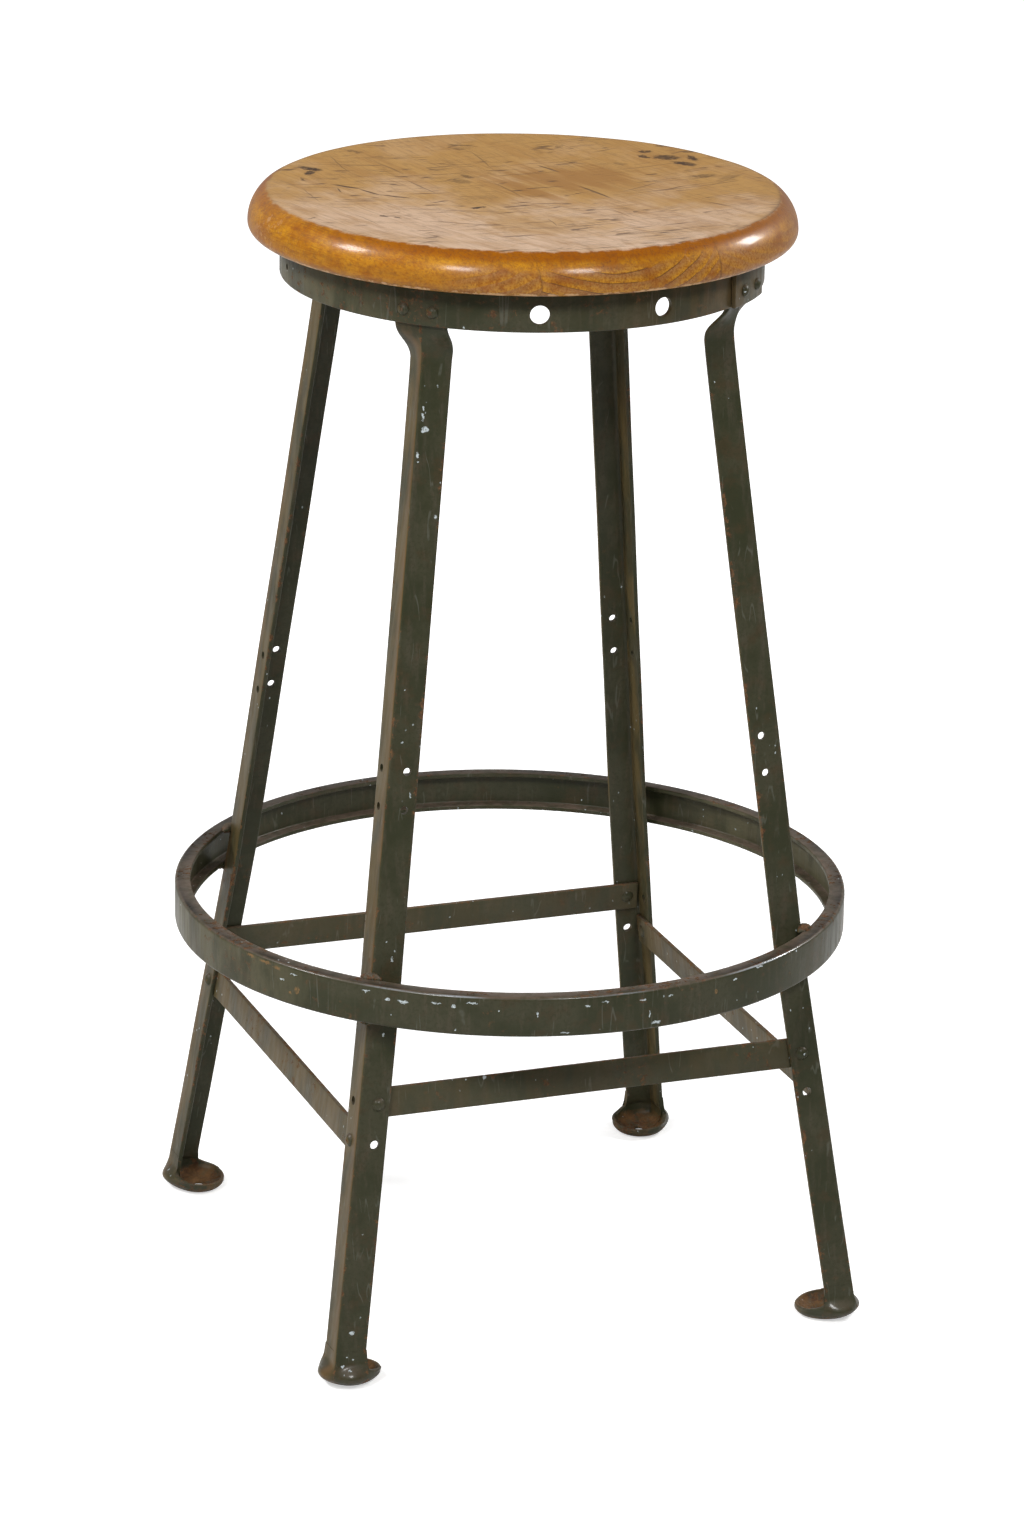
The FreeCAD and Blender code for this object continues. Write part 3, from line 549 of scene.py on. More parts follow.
def make_band():
    azimuth = with_round_ends(np.linspace(LAP_START, HOOP_END, 420), 0.2)
    step = (STOCK + LAP_CLEARANCE) * (1 - smooth_step(LAP_STEP, LAP_STEP_END, azimuth))
    wander = 0.12 * unevenness(5, azimuth, length=70.0) * smooth_step(LAP_STEP_END, 0, azimuth)
    angle = np.radians(azimuth)
    outwards = np.stack([np.cos(angle), np.sin(angle), 0 * angle], axis=-1)
    path = outwards * (band_radius - STOCK / 2 + step - abs(wander))[:, None] + UP * band_middle
    half_height = (band_high[2] - band_low[2]) / 2
    bar = strip(path, np.broadcast_to(UP, path.shape), outwards, half_height)
    band = make_object("steel_band", [bar])
    level = UP * (band_low[2] + BAND_HOLE_RISE)
    drills = [(heading(azimuth), radius) for azimuth, radius in BAND_HOLES]
    cut_away(band, [drill_bit(way * band_radius + level, way, radius, STOCK * 6) for way, radius in drills])
    points = mesh_points(band)
    edge = half_height - abs(points[:, 2] - band_middle)
    keep_values(band, wear=0.75 * np.exp(-edge / 0.9),
                tan=0.32 * bell(around(points)[1], RUSTY_AZIMUTH, RUSTY_SPREAD))
    hand_over(band, band_steel, "frame_steel", "seat_band")


make_band()

# %% [markdown]
# ## The legs
# Each leg is one length of steel angle with its heel outwards. Its section is a V with a small
# radius outside the heel and a fillet inside. At the knee the V is hammered open: its half opening
# grows from 45 to 90 degrees, and the flat tongue that is left goes up inside the band. So the leg is
# one family of sections, ruled by three numbers for each height: where the heel is, how far the V
# is open, and how long its flanges are.

# %% Leg sections
ANGLE_WIDTH, TONGUE_HALF_WIDTH = 20.0, 17.0
HEEL_AT_FLOOR, BEND_RADIUS, KNEE_RADIUS, TONGUE_FACE = 252.0, 205.4, 143.62, 146.92
HEEL_ROUND, HEEL_FILLET, TIP_ROUND, SHOULDER_ROUND = 2.0, 2.6, 0.8, 3.0
FOOT_TOP, FOOT_OVERLAP = 24.0, 4.0
KNEE_DROP, KNEE_SOFTNESS = 19.5, 7.0
bend_height = (ring_low[2] + ring_high[2]) / 2
knee_height, tongue_height = band_low[2] - KNEE_DROP, band_low[2]
leg_top = seat_low[2]
lower_lean = (HEEL_AT_FLOOR - BEND_RADIUS) / bend_height
upper_lean = (BEND_RADIUS - KNEE_RADIUS) / (knee_height - bend_height)


def heel_at(height):
    """The heel's distance from the middle: straight to the ring, straight to the knee, then upright."""
    below_knee = knee_height - height
    softened = 0.5 * (below_knee + np.sqrt(below_knee ** 2 + KNEE_SOFTNESS ** 2))
    upper = KNEE_RADIUS + upper_lean * softened
    straight = np.where(height < bend_height, HEEL_AT_FLOOR - lower_lean * height, upper)
    return straight + (TONGUE_FACE - KNEE_RADIUS) * smooth_step(knee_height, tongue_height, height)


def half_corner(heel, spread, radius, reach):
    """One side of a V, as (x, y) rows: a fillet arc from its middle, then a straight run to reach."""
    arc = np.linspace(0, 1, 7) * (math.pi / 2 - spread)
    start = radius / np.tan(spread)
    run = start + (reach - start) * np.linspace(0, 1, 9)[1:]
    x = [heel - radius / np.sin(spread) + radius * np.cos(arc), heel - np.cos(spread) * run]
    y = [radius * np.sin(arc), np.sin(spread) * run]
    return np.stack([np.concatenate(x, axis=1), np.concatenate(y, axis=1)], axis=1)


def angle_sections(height, heel, spread, reach):
    """The closed outline of an opened angle at each height, as points (x, y, height).

    Half the outline is the outside of a flange, two quarter circles at its tip and its inside.
    """
    heel, spread, straight = heel[:, None], spread[:, None], reach[:, None] - TIP_ROUND
    along = np.stack([-np.cos(spread), np.sin(spread)], axis=1)
    out = np.stack([np.sin(spread), np.cos(spread)], axis=1)
    outer = half_corner(heel, spread, HEEL_ROUND, straight)
    inner = half_corner(heel - STOCK / np.sin(spread), spread, HEEL_FILLET,
                        straight - STOCK / np.tan(spread))
    half = [outer[..., :-1]]
    for side, sign, start in ((outer, -1, 0), (inner, 1, math.pi / 2)):
        angle = np.linspace(start, start + math.pi / 2, CORNER_STEPS)
        half.append(side[..., -1:] + TIP_ROUND * (out * (sign + np.cos(angle)) + along * np.sin(angle)))
    half = np.concatenate([*half, inner[..., -2::-1]], axis=2)
    outline = np.concatenate([half, half[..., -2:0:-1] * [[1], [-1]]], axis=2)
    x, y = np.moveaxis(outline, 1, 0)
    return np.stack([x, y, np.broadcast_to(height[:, None], x.shape)], axis=-1)


def leg_body(seed):
    """The angle from the foot up, opened at the knee and rounded at the shoulders.

    Its sections are sparse on the straight runs, and dense at the knee and the shoulders.
    """
    stops = (FOOT_TOP - FOOT_OVERLAP, bend_height, knee_height - 6, tongue_height,
             leg_top - SHOULDER_ROUND, leg_top)
    runs = zip(stops, stops[1:], (24, 40, 26, 6, 6))
    height = np.unique(np.concatenate([np.linspace(*run) for run in runs]))
    opened = smooth_step(knee_height - 9, tongue_height, height) ** 1.3
    shoulder = np.clip((height - leg_top + SHOULDER_ROUND) / SHOULDER_ROUND, 0, 1)
    reach = ANGLE_WIDTH + (TONGUE_HALF_WIDTH - ANGLE_WIDTH) * opened
    reach = reach - SHOULDER_ROUND * (1 - np.sqrt(1 - shoulder ** 2))
    grid = angle_sections(height, heel_at(height), np.radians(45 + 44.9 * opened), reach)
    sway = 0.25 * smooth_step(FOOT_TOP, 90, height) * smooth_step(knee_height, knee_height - 60, height)
    grid[..., 0] -= (sway * (1 + unevenness(seed, height, length=260.0)))[:, None]
    grid[..., 1] += (sway * unevenness(seed + 1, height, length=220.0))[:, None]
    return shell(grid)


print("leg lean below and above the ring:", round(lower_lean, 3), round(upper_lean, 3))

# %% [markdown]
# ## The foot
# The end of the angle was heated and forged: its flanges are spread into a scoop, the heel is bent
# under, and the end is dished into a round pad with a raised rim and a countersunk hole. Seen from
# above the pad's middle, it is a bowl whose wall is low all round the inside and climbs up into the
# leg at the back. So the whole foot is one grid about the pad's axis: each column is a closed loop
# that runs along the sole, up the outside, over the free edge, down the inside and round the hole.

# %% Foot outlines
PAD_INSET, PAD_RADIUS, SOLE_RADIUS, PAD_FLOOR = 26.4, 16.5, 11.0, 2.8
RIM_TOP, FLARE_TOP = 6.5, 17.0
SWELL_HEIGHT, SWELL_AT_RIM, SWELL_HALF_WIDTH, SWELL_POWER = 7.5, 4.3, 18.6, 2.4
V_SOFTNESS, BELLY_POWER = 0.05, 1.6
EDGE_SWEEP, NARROWING, NARROW_AT, NARROW_SPREAD = 1.9, 6.0, 13.0, 3.5
HALF_ANGLE = ANGLE_WIDTH * SQUARE
pad_centre = HEEL_AT_FLOOR - PAD_INSET


def free_edge(count):
    """Azimuth and height of the foot's free edge, from the pad's inner end up to the leg's tip.

    The azimuth falls from 180 degrees with an exponential of the height, which gives the round
    sweep from the rim into the flange, and the points are spread evenly along the edge.
    """
    fine = np.concatenate([np.linspace(0, 0.05, 200) ** 1.5, np.linspace(0.012, 1, 800)])
    height = RIM_TOP + (FOOT_TOP - RIM_TOP) * np.unique(fine)
    back = heel_at(np.array([FOOT_TOP]))[0] - pad_centre
    tip = math.degrees(math.atan2(HALF_ANGLE, back - HALF_ANGLE))
    narrow = tip - NARROWING * bell(height, NARROW_AT, NARROW_SPREAD)
    azimuth = narrow + (180 - narrow) * np.exp(-(height - RIM_TOP) / EDGE_SWEEP)
    azimuth[-1] = tip
    step = np.hypot(np.diff(np.radians(azimuth)) * PAD_RADIUS, np.diff(height))
    length = np.concatenate([[0], np.cumsum(step)])
    even = np.linspace(0, length[-1], count)
    return np.interp(even, length, azimuth), np.interp(even, length, height)


def v_radius(azimuth, height):
    """Distance of the angle's V from the pad's axis along each azimuth."""
    near = np.minimum(azimuth, math.pi / 2)
    bend = np.sqrt(np.sin(near) ** 2 + V_SOFTNESS ** 2) - V_SOFTNESS * 0.35
    return (heel_at(height) - pad_centre) / (np.cos(near) + bend)


def outer_radius(azimuth, height):
    """The outside of the foot: sole, swell and flare, blended up into the V."""
    back = HEEL_AT_FLOOR - lower_lean * SWELL_HEIGHT - pad_centre
    near = np.minimum(azimuth, math.pi / 2)
    swell = (np.cos(near) / back) ** SWELL_POWER + (np.sin(near) / SWELL_HALF_WIDTH) ** SWELL_POWER
    past = np.clip(azimuth - math.pi / 2, 0, math.pi / 2)
    swell = swell ** (-1 / SWELL_POWER) - (SWELL_HALF_WIDTH - PAD_RADIUS) * np.sin(past) ** 2
    full = SWELL_AT_RIM + (SWELL_HEIGHT - SWELL_AT_RIM) * (1 + np.cos(azimuth)) / 2
    low = np.clip(height / full, 0, 1)
    belly = (1 - (1 - low) ** BELLY_POWER) ** (1 / BELLY_POWER)
    belly = SOLE_RADIUS + (swell - SOLE_RADIUS) * belly
    rise = np.where(azimuth < math.radians(110), smooth_step(full, FLARE_TOP, height), 0)
    return belly + (v_radius(azimuth, height) - belly) * rise


print(f"foot: pad {2 * PAD_RADIUS:.0f} mm wide, its middle {pad_centre:.1f} mm from the axis")

# %% [markdown]
# ## The foot as one closed surface
# Each column of the grid runs from the hole along the sole, up the outside, over the lip, down the
# inside wall into the bowl and back into the hole. The columns close around the pad, so the smith's
# scoop, rim and dish come out as one skin without a seam.

# %% Foot shell
HOLE_RADIUS, SINK_RADIUS, SINK_DEPTH = 3.2, 5.6, 1.5
LIP_ROUND, SCOOP_WALL, BOWL_TOP, BOWL_CORNER = 1.15, 2.7, 13.5, 12.6


def foot_columns():
    """Azimuth in radians and top height of each column, once around the pad from the heel."""
    azimuth, top = free_edge(40)
    cap = np.linspace(0, 1, 18)[:-1] ** 1.4 * azimuth[-1]
    azimuth = np.radians(np.concatenate([cap, azimuth[::-1]]))
    top = np.concatenate([np.full(len(cap), FOOT_TOP), top[::-1]])
    azimuth = np.concatenate([azimuth, -azimuth[-2:0:-1]])
    return azimuth[:, None], np.concatenate([top, top[-2:0:-1]])[:, None]


def rounded_lip(top, height):
    """How far a wall draws back below its free edge: a quarter circle's share."""
    return 1 - np.sqrt(1 - np.clip(1 - (top - height) / LIP_ROUND, 0, 1) ** 2)


def bent(first, corner, last, steps=16):
    """A curve from first to last that is drawn towards a corner: a quadratic Bezier curve."""
    t = np.linspace(0, 1, steps)
    return (1 - t) ** 2 * first + 2 * t * (1 - t) * corner + t ** 2 * last


def foot_shell():
    """Loops (radius, height) about the pad's axis: outside, upper wall, bowl and hole."""
    azimuth, top = foot_columns()
    side = abs(azimuth)
    inner_end = side > math.pi / 2
    lip = np.where(top >= FOOT_TOP - 1e-6, 0.0, LIP_ROUND)
    out_z = top * np.linspace(0, 1, 26) ** 1.35
    out_r = outer_radius(side, out_z) - lip * rounded_lip(top, out_z)
    wall = STOCK / np.clip(np.cos(side - math.pi / 4), 0.7, 1)
    wall = np.where(inner_end, SCOOP_WALL, wall)
    join = np.minimum(top, BOWL_TOP)
    low_rim = top < BOWL_TOP
    join_r = outer_radius(side, join) - wall + np.where(low_rim, lip * 0.45, 0)
    corner_r = np.minimum(join_r, outer_radius(side, np.full_like(side, SWELL_HEIGHT)) - 5.5)
    corner_r = np.where(inner_end, np.minimum(corner_r, BOWL_CORNER), corner_r)
    in_r = bent(SINK_RADIUS, corner_r, join_r)
    in_z = bent(PAD_FLOOR, PAD_FLOOR, join - lip * 0.3)
    upper_z = join + (top - join) * np.linspace(0, 1, 9)[1:]
    upper_r = outer_radius(side, upper_z) - wall + lip * 0.6 * rounded_lip(top, upper_z)
    upper_r = np.where(top <= BOWL_TOP, in_r[:, -1:], upper_r)
    upper_z = np.where(top <= BOWL_TOP, in_z[:, -1:], upper_z)
    ones = np.ones_like(side)
    sole = np.linspace(HOLE_RADIUS, SOLE_RADIUS, 4)[:-1] * ones
    radius = np.concatenate([sole, out_r, upper_r[:, ::-1], in_r[:, ::-1], HOLE_RADIUS * ones], axis=1)
    height = [0 * sole, out_z, upper_z[:, ::-1], in_z[:, ::-1], (PAD_FLOOR - SINK_DEPTH) * ones]
    x, y = pad_centre + radius * np.cos(azimuth), radius * np.sin(azimuth)
    return shell(np.stack([x, y, np.concatenate(height, axis=1)], axis=-1), close_rows=True)


print("foot columns:", len(foot_columns()[0]))

# %% [markdown]
# ## Tab and holes
# Behind the seat's edge a tab is bent inwards from each tongue and takes the screw that holds the
# seat. Four small holes in each leg, halfway up, and two at the height of the braces are left over
# from the maker's template: the daylight that shows through them in the picture is what tells them
# from rivets.

# %% Tab and holes
TAB_HALF_WIDTH, TAB_LENGTH, TAB_BEND, TAB_TAIL = 9.0, 20.0, 3.0, 14.0
HOLE_INSET = 12.5
BRACE_HEIGHTS = {"front": 178.5, "right": 153.5, "back": 178.5, "left": 153.5}
SPARE_HOLES = ((362.0, 2.5), (385.7, 2.5))
BRACE_HOLE_RADIUS = 2.9


def tab_shell():
    """A strip up the tongue's middle, round a quarter bend and inwards under the seat."""
    face, level = TONGUE_FACE - STOCK / 2, leg_top - STOCK / 2
    turn = np.linspace(0, math.pi / 2, 9)
    end = TONGUE_FACE - STOCK - TAB_LENGTH
    x = np.concatenate([[face, face], face - TAB_BEND + TAB_BEND * np.cos(turn)])
    x = np.concatenate([x, np.linspace(x[-1], end, 12)[1:]])
    z = np.concatenate([[level - TAB_TAIL, level - TAB_TAIL + 0.5],
                        level - TAB_BEND + TAB_BEND * np.sin(turn), np.full(11, level)])
    slope = np.arctan2(np.gradient(z), -np.gradient(x))
    path = np.stack([x, 0 * x, z], axis=-1)
    through = np.stack([np.sin(slope), 0 * x, np.cos(slope)], axis=-1)
    late = np.clip((end + 3.0 - x) / 3.0, 0, 1)
    half_width = TAB_HALF_WIDTH - 3.0 * (1 - np.sqrt(1 - late ** 2))
    thickness = np.where(z < level - TAB_BEND, STOCK - 0.1, STOCK)
    return strip(path, np.broadcast_to([0.0, 1.0, 0.0], path.shape), through, half_width, thickness)


def flange_bit(height, side, radius):
    """A cutter through one flange, square to its leaning face."""
    lean = lower_lean if height < bend_height else upper_lean
    inset = HOLE_INSET * SQUARE
    middle = np.array([heel_at(np.array([height]))[0] - inset, side * inset, height])
    return drill_bit(middle, (1, side, lean), radius, STOCK * 5)


def leg_values(points, side):
    """Where paint is thin, where orange rust shows through and where the steel is rubbed smooth.

    Wear follows the heel, the flange tips and the foot. The thin rust lies beside the heel on one
    flange, and all over the bowl, and the swell of the foot is smooth on its outside.
    """
    x, y, height = points.T
    inside = heel_at(height) - x
    heel, tip = np.hypot(inside, y), np.hypot(HALF_ANGLE - inside, abs(y) - HALF_ANGLE)
    from_pad = np.hypot(x - pad_centre, y)
    bowl = (height < 14) & (height > 1) & (from_pad < PAD_RADIUS - 1.5)
    near_ring = bell(height, bend_height, 22) * np.exp(-heel / 9)
    wear = 0.60 * np.exp(-heel / 1.4) + 0.65 * np.exp(-tip / 1.6) + 0.6 * bowl + 0.6 * near_ring
    wear = wear + 0.5 * np.exp(-np.clip(height - 3, 0, None) / 8)
    beside_heel = 0.62 * (side * y > 0.4) * bell(inside, 2.2, 2.4)
    pad = (height < 9) & (from_pad < PAD_RADIUS + 1)
    outside = smooth_step(PAD_RADIUS, PAD_RADIUS + 3, from_pad) * smooth_step(18, 12, height)
    return {"wear": wear, "tan": np.maximum(beside_heel, 0.52 * pad), "polish_and_highlight": 0.30 * outside}


# %% [markdown]
# ## The four legs
# A leg is its body with the holes cut, its forged foot and its tab. It is built with its heel above
# the x axis and then turned to its corner. Only the front left leg shows larger drops of pale paint,
# so it has a finish of its own with a small ellipsoid for each drop.

# %% Legs
SPLASHED_LEG = "front_left"
LEG_SPLASHES = (
    # height, distance from the heel, half width, half height: on the front of the front left leg
    (595, 5.8, 2.6, 2.0), (602.5, 4.0, 0.8, 3.2), (608, 3.6, 0.7, 1.6), (580, 2.4, 0.9, 2.2),
    (576, 3.0, 0.6, 0.7), (436.5, 6.5, 0.6, 0.6), (404, 7.5, 0.7, 0.8), (371, 15.6, 0.6, 2.0),
    (222.5, 11.5, 0.6, 1.6),
    (269.5, 12.5, 0.5, 2.0), (274, 14.2, 0.4, 0.9), (281, 8.0, 0.5, 0.5), (36, 9.2, 2.0, 1.1),
    (21, 7.0, 0.7, 0.6), (19, 11.5, 0.6, 0.5), (15.5, 5.0, 1.4, 0.8), (13, 9.5, 1.6, 0.6),
)


def with_more(piece, shells):
    """The same piece with more shells in its mesh."""
    faces = [list(face.vertices) for face in piece.data.polygons]
    whole = make_object(piece.name + "_whole", [(mesh_points(piece), faces), *shells])
    piece.data = whole.data
    bpy.data.objects.remove(whole)


def make_leg(number, name, azimuth):
    body = make_object(f"leg_{name}_angle", [leg_body(10 + number)])
    open_side = 1 if name in ("front_left", "back_right") else -1
    cutters = [flange_bit(height, side, radius) for height, radius in SPARE_HOLES for side in (-1, 1)]
    cutters.append(flange_bit(BRACE_HEIGHTS["front"], -open_side, BRACE_HOLE_RADIUS))
    cutters.append(flange_bit(BRACE_HEIGHTS["right"], open_side, BRACE_HOLE_RADIUS))
    cut_away(body, cutters)
    with_more(body, [foot_shell(), tab_shell()])
    points = mesh_points(body)
    splashed = name == SPLASHED_LEG
    keep_values(body, **leg_values(points, -1 if splashed else 1))
    body.data.vertices.foreach_set("co", (turned(points, azimuth) * MM).ravel())
    body.data.update()
    hand_over(body, splashed_steel if splashed else leg_steel, "frame_steel", f"leg_{name}")


def leg_splash(height, inset, half_width, half_height):
    """An ellipsoid on the front flange: its middle, half sizes and turn."""
    inset = inset * SQUARE
    middle = np.array([heel_at(np.array([height]))[0] - inset, inset, height])
    return turned(middle, LEG_AZIMUTHS[SPLASHED_LEG]), (half_width, 4.0, half_height), 0


leg_steel = steel_finish("olive_paint_on_legs")
splashed_steel = steel_finish("splashed_paint_on_leg", blobs=[leg_splash(*row) for row in LEG_SPLASHES])
for number, (name, azimuth) in enumerate(LEG_AZIMUTHS.items()):
    make_leg(number, name, azimuth)

# %% [markdown]
# ## The foot ring
# A small channel bent to a hoop with its flanges inwards, so feet rest on a flat top edge. Its
# section, a C with rounded outer corners, is carried round a circle. Each heel passes through a
# notch in the lower flange. Shoes have rubbed the top and its outer corner, and the pale splashes
# and the chips of rust on its outer face have places of their own.

# %% Ring
RING_FLANGE, RING_ROUND, INNER_ROUND = 10.0, 2.2, 1.5
ring_radius = ring_high[0]


def arc_points(x, y, radius, start, count=6, sweep=90):
    """Points of an arc in the plane of a section, angles in degrees."""
    angle = np.radians(np.linspace(start, start + sweep, count))
    return np.stack([x + radius * np.cos(angle), y + radius * np.sin(angle)], axis=-1)


def channel_section():
    """The outline of the C, counter-clockwise from the lower flange's inner edge."""
    low, high, e, r, i = ring_low[2], ring_high[2], EDGE_ROUND, RING_ROUND, INNER_ROUND
    tip, outer, web = ring_radius - RING_FLANGE + e, ring_radius - r, ring_radius - STOCK - i
    return np.concatenate([
        arc_points(tip, low + e, e, 180, 4),
        arc_points(outer, low + r, r, 270),
        arc_points(outer, high - r, r, 0),
        arc_points(tip, high - e, e, 90, 4),
        arc_points(tip, high - STOCK + e, e, 180, 4),
        arc_points(web, high - STOCK - i, i, 90, 5, -90),
        arc_points(web, low + STOCK + i, i, 0, 5, -90),
        arc_points(tip, low + STOCK - e, e, 90, 4),
    ])


def heel_notch(azimuth):
    """A three-sided cutter for the heel in the ring's lower flange."""
    corner = heel_at(np.array([ring_low[2]]))[0] + 0.1
    inner = corner - RING_FLANGE
    plan = [[corner, 0], [inner, RING_FLANGE], [inner, -RING_FLANGE]]
    levels = (ring_low[2] - 1, ring_low[2] + STOCK + 1)
    return shell(turned(np.array([[[x, y, level] for x, y in plan] for level in levels]), azimuth))


def ring_values(points):
    """Wear on the top and corners, painted shade on the top's edge, polish and painted highlight where
    shoes slide.
    """
    (reach, azimuth), height = around(points), points[:, 2]
    top = smooth_step(ring_high[2] - 1.0, ring_high[2] - 0.1, height)
    upper, lower = (np.hypot(reach - ring_radius, height - box[2]) for box in (ring_high, ring_low))
    uneven = unevenness(34, points[:, 0], points[:, 1], length=40.0)
    # painted shade: a dark line beside the rounded outer top corner
    painted_dark_line = bell(reach, ring_radius - 2.6, 0.8) * top * (0.7 + 0.6 * uneven)
    # the top is darker towards the back
    back = smooth_step(60, 170, points[:, 1]) * top
    # the azimuths of the polish and of the painted highlight line
    rubbed = bell(azimuth, -108, 24) + 0.6 * bell(azimuth, -62, 10)
    return {"wear": 0.30 * top + 0.35 * np.exp(-upper / 1.2) + 0.4 * np.exp(-lower / 1.2),
            "grime": np.maximum(0.95 * painted_dark_line, 0.5 * back),
            "polish_and_highlight": (upper < 1.35) * np.clip(rubbed + 0.25, 0, 1) * (0.8 + 0.8 * uneven)}


def make_ring():
    section = channel_section()
    angle = np.linspace(0, 2 * math.pi, 361)[:-1, None]
    wobble = 0.2 * unevenness(31, np.cos(angle) * 100, np.sin(angle) * 100, length=180.0)
    radius = section[:, 0] - 0.2 + wobble
    height = np.broadcast_to(section[:, 1], radius.shape)
    grid = np.stack([radius * np.cos(angle), radius * np.sin(angle), height], axis=-1)
    ring = make_object("channel_ring", [shell(grid, close_rows=True)])
    cut_away(ring, [heel_notch(azimuth) for azimuth in LEG_AZIMUTHS.values()])
    keep_values(ring, **ring_values(mesh_points(ring)))
    hand_over(ring, ring_steel, "ring_steel", "foot_ring")


RING_SPLASHES = (
    # azimuth, height, half width and half height, in degrees and millimetres
    (-134.4, 255.6, 3.0, 0.6), (-130.6, 252.2, 1.8, 1.0), (-127.9, 252.0, 3.8, 1.3),
    (-122.3, 253.6, 3.4, 0.6), (-119.5, 252.4, 1.6, 1.4), (-116.5, 255.2, 4.0, 0.4),
    (-97.5, 253.0, 2.2, 0.6), (-94.5, 255.0, 3.0, 0.4), (-86.7, 243.5, 0.5, 2.6),
    (-85.6, 237.6, 3.6, 1.0), (-64.3, 257.8, 3.2, 0.7), (-119.1, 237.4, 0.6, 0.6),
    (-101.2, 236.4, 3.4, 0.6), (-105.7, 248.5, 0.4, 2.2), (-88.0, 253.6, 2.6, 0.5),
    (-112.0, 251.0, 0.6, 0.6), (-83.0, 253.8, 2.2, 0.6), (-70.0, 254.8, 1.8, 0.5),
    (-151.0, 249.0, 2.0, 0.6), (-148.5, 254.6, 3.2, 0.5),
)
RING_CHIPS = (
    # the same columns
    (-158.5, 257.0, 5.0, 1.0), (-155.0, 256.4, 6.0, 1.3), (-152.2, 255.4, 4.0, 1.2),
    (-147.8, 245.0, 2.4, 3.4), (-149.2, 242.0, 1.6, 1.4), (-74.0, 250.0, 1.4, 1.6),
)


def on_ring(rows):
    """Ellipsoids on the ring's outer face: their middle, half sizes and turn."""
    return [(heading(azimuth) * ring_radius + UP * height, (3.0, half_width, half_height), azimuth)
            for azimuth, height, half_width, half_height in rows]


ring_steel = steel_finish("trodden_paint_on_ring", 0.45, 0.9, splashes=0.10, gloss=0.34, film_and_warm_light=GREEN_FILM_AND_WARM_LIGHT,
                          blobs=on_ring(RING_SPLASHES), chips=on_ring(RING_CHIPS))
make_ring()

# %% [markdown]
# ## Weld beads
# The ring is welded to each heel above and below. A weld bead is metal that froze in overlapping
# drops, so it is an ellipsoid, partly sunk in the steel, with ripples along its length and lumps
# all over.

# %% Welds
WELD_REACH, WELD_HALF_WIDTH, WELD_RISE, WELD_OVERLAP = 4.5, 9.0, 3.6, 3.6
WELD_SHRINK, WELD_TAPER, WELD_RIPPLE, WELD_LUMPS = 0.84, 1.9, 0.05, 0.16


def weld_bead(height, seed):
    """An ellipsoid in latitude and longitude, its radius rippled by a sine of the place across."""
    latitude = np.linspace(-math.pi / 2, math.pi / 2, 40)[:, None]
    longitude = np.linspace(0, 2 * math.pi, 41)[:-1] + 0 * latitude
    across = np.sin(latitude) + 0 * longitude
    c, s = np.cos(longitude), np.sin(longitude)
    ripple = 1 + WELD_RIPPLE * np.sin(across * 16 + 1.5 * c) * np.cos(latitude)
    lumps = 1 + WELD_LUMPS * unevenness(seed, across * 9, c * 4, s * 4, length=4.5)
    thick = np.cos(latitude) ** WELD_TAPER * ripple * lumps * WELD_SHRINK
    middle = heel_at(np.array([height]))[0] + WELD_REACH - WELD_OVERLAP
    x, z = middle + WELD_REACH * thick * c, height + WELD_RISE * thick * s
    return shell(np.stack([x, WELD_HALF_WIDTH * across * WELD_SHRINK, z], axis=-1))


for number, (name, azimuth) in enumerate(LEG_AZIMUTHS.items()):
    beads = [weld_bead(ring_high[2], 50 + number), weld_bead(ring_low[2], 60 + number)]
    beads = [(turned(points, azimuth), faces) for points, faces in beads]
    welds = make_object(f"weld_beads_{name}", beads)
    keep_values(welds, wear=np.full(len(welds.data.vertices), 0.5))
    hand_over(welds, weld_steel, "weld_steel", f"ring_welds_{name}")

# %% [markdown]
# ## Braces
# Four strips tie neighbouring legs on the inner faces of their flanges. Those faces lean, so each
# brace is built flat and upright at the middle of its side, tipped by the lean of the flange and
# then turned to its side of the stool.

# %% Braces
BRACE_HALF_HEIGHT, BRACE_OVERHANG = 9.5, 7.5
flange_tilt = math.atan(lower_lean * SQUARE)


def on_side(points, azimuth, height):
    """From the flat frame of one side (x along it, y inwards, z up its face) to the stool's."""
    x, y, z = points.T
    face = STOCK - heel_at(np.array([height]))[0] * SQUARE
    inwards = face + y * math.cos(flange_tilt) + z * math.sin(flange_tilt)
    upwards = height - y * math.sin(flange_tilt) + z * math.cos(flange_tilt)
    return turned(np.stack([x, inwards, upwards], axis=-1), azimuth + 90)


def brace_reach(height):
    """Half the distance between a brace's two rivets."""
    return heel_at(np.array([height]))[0] * SQUARE - HOLE_INSET


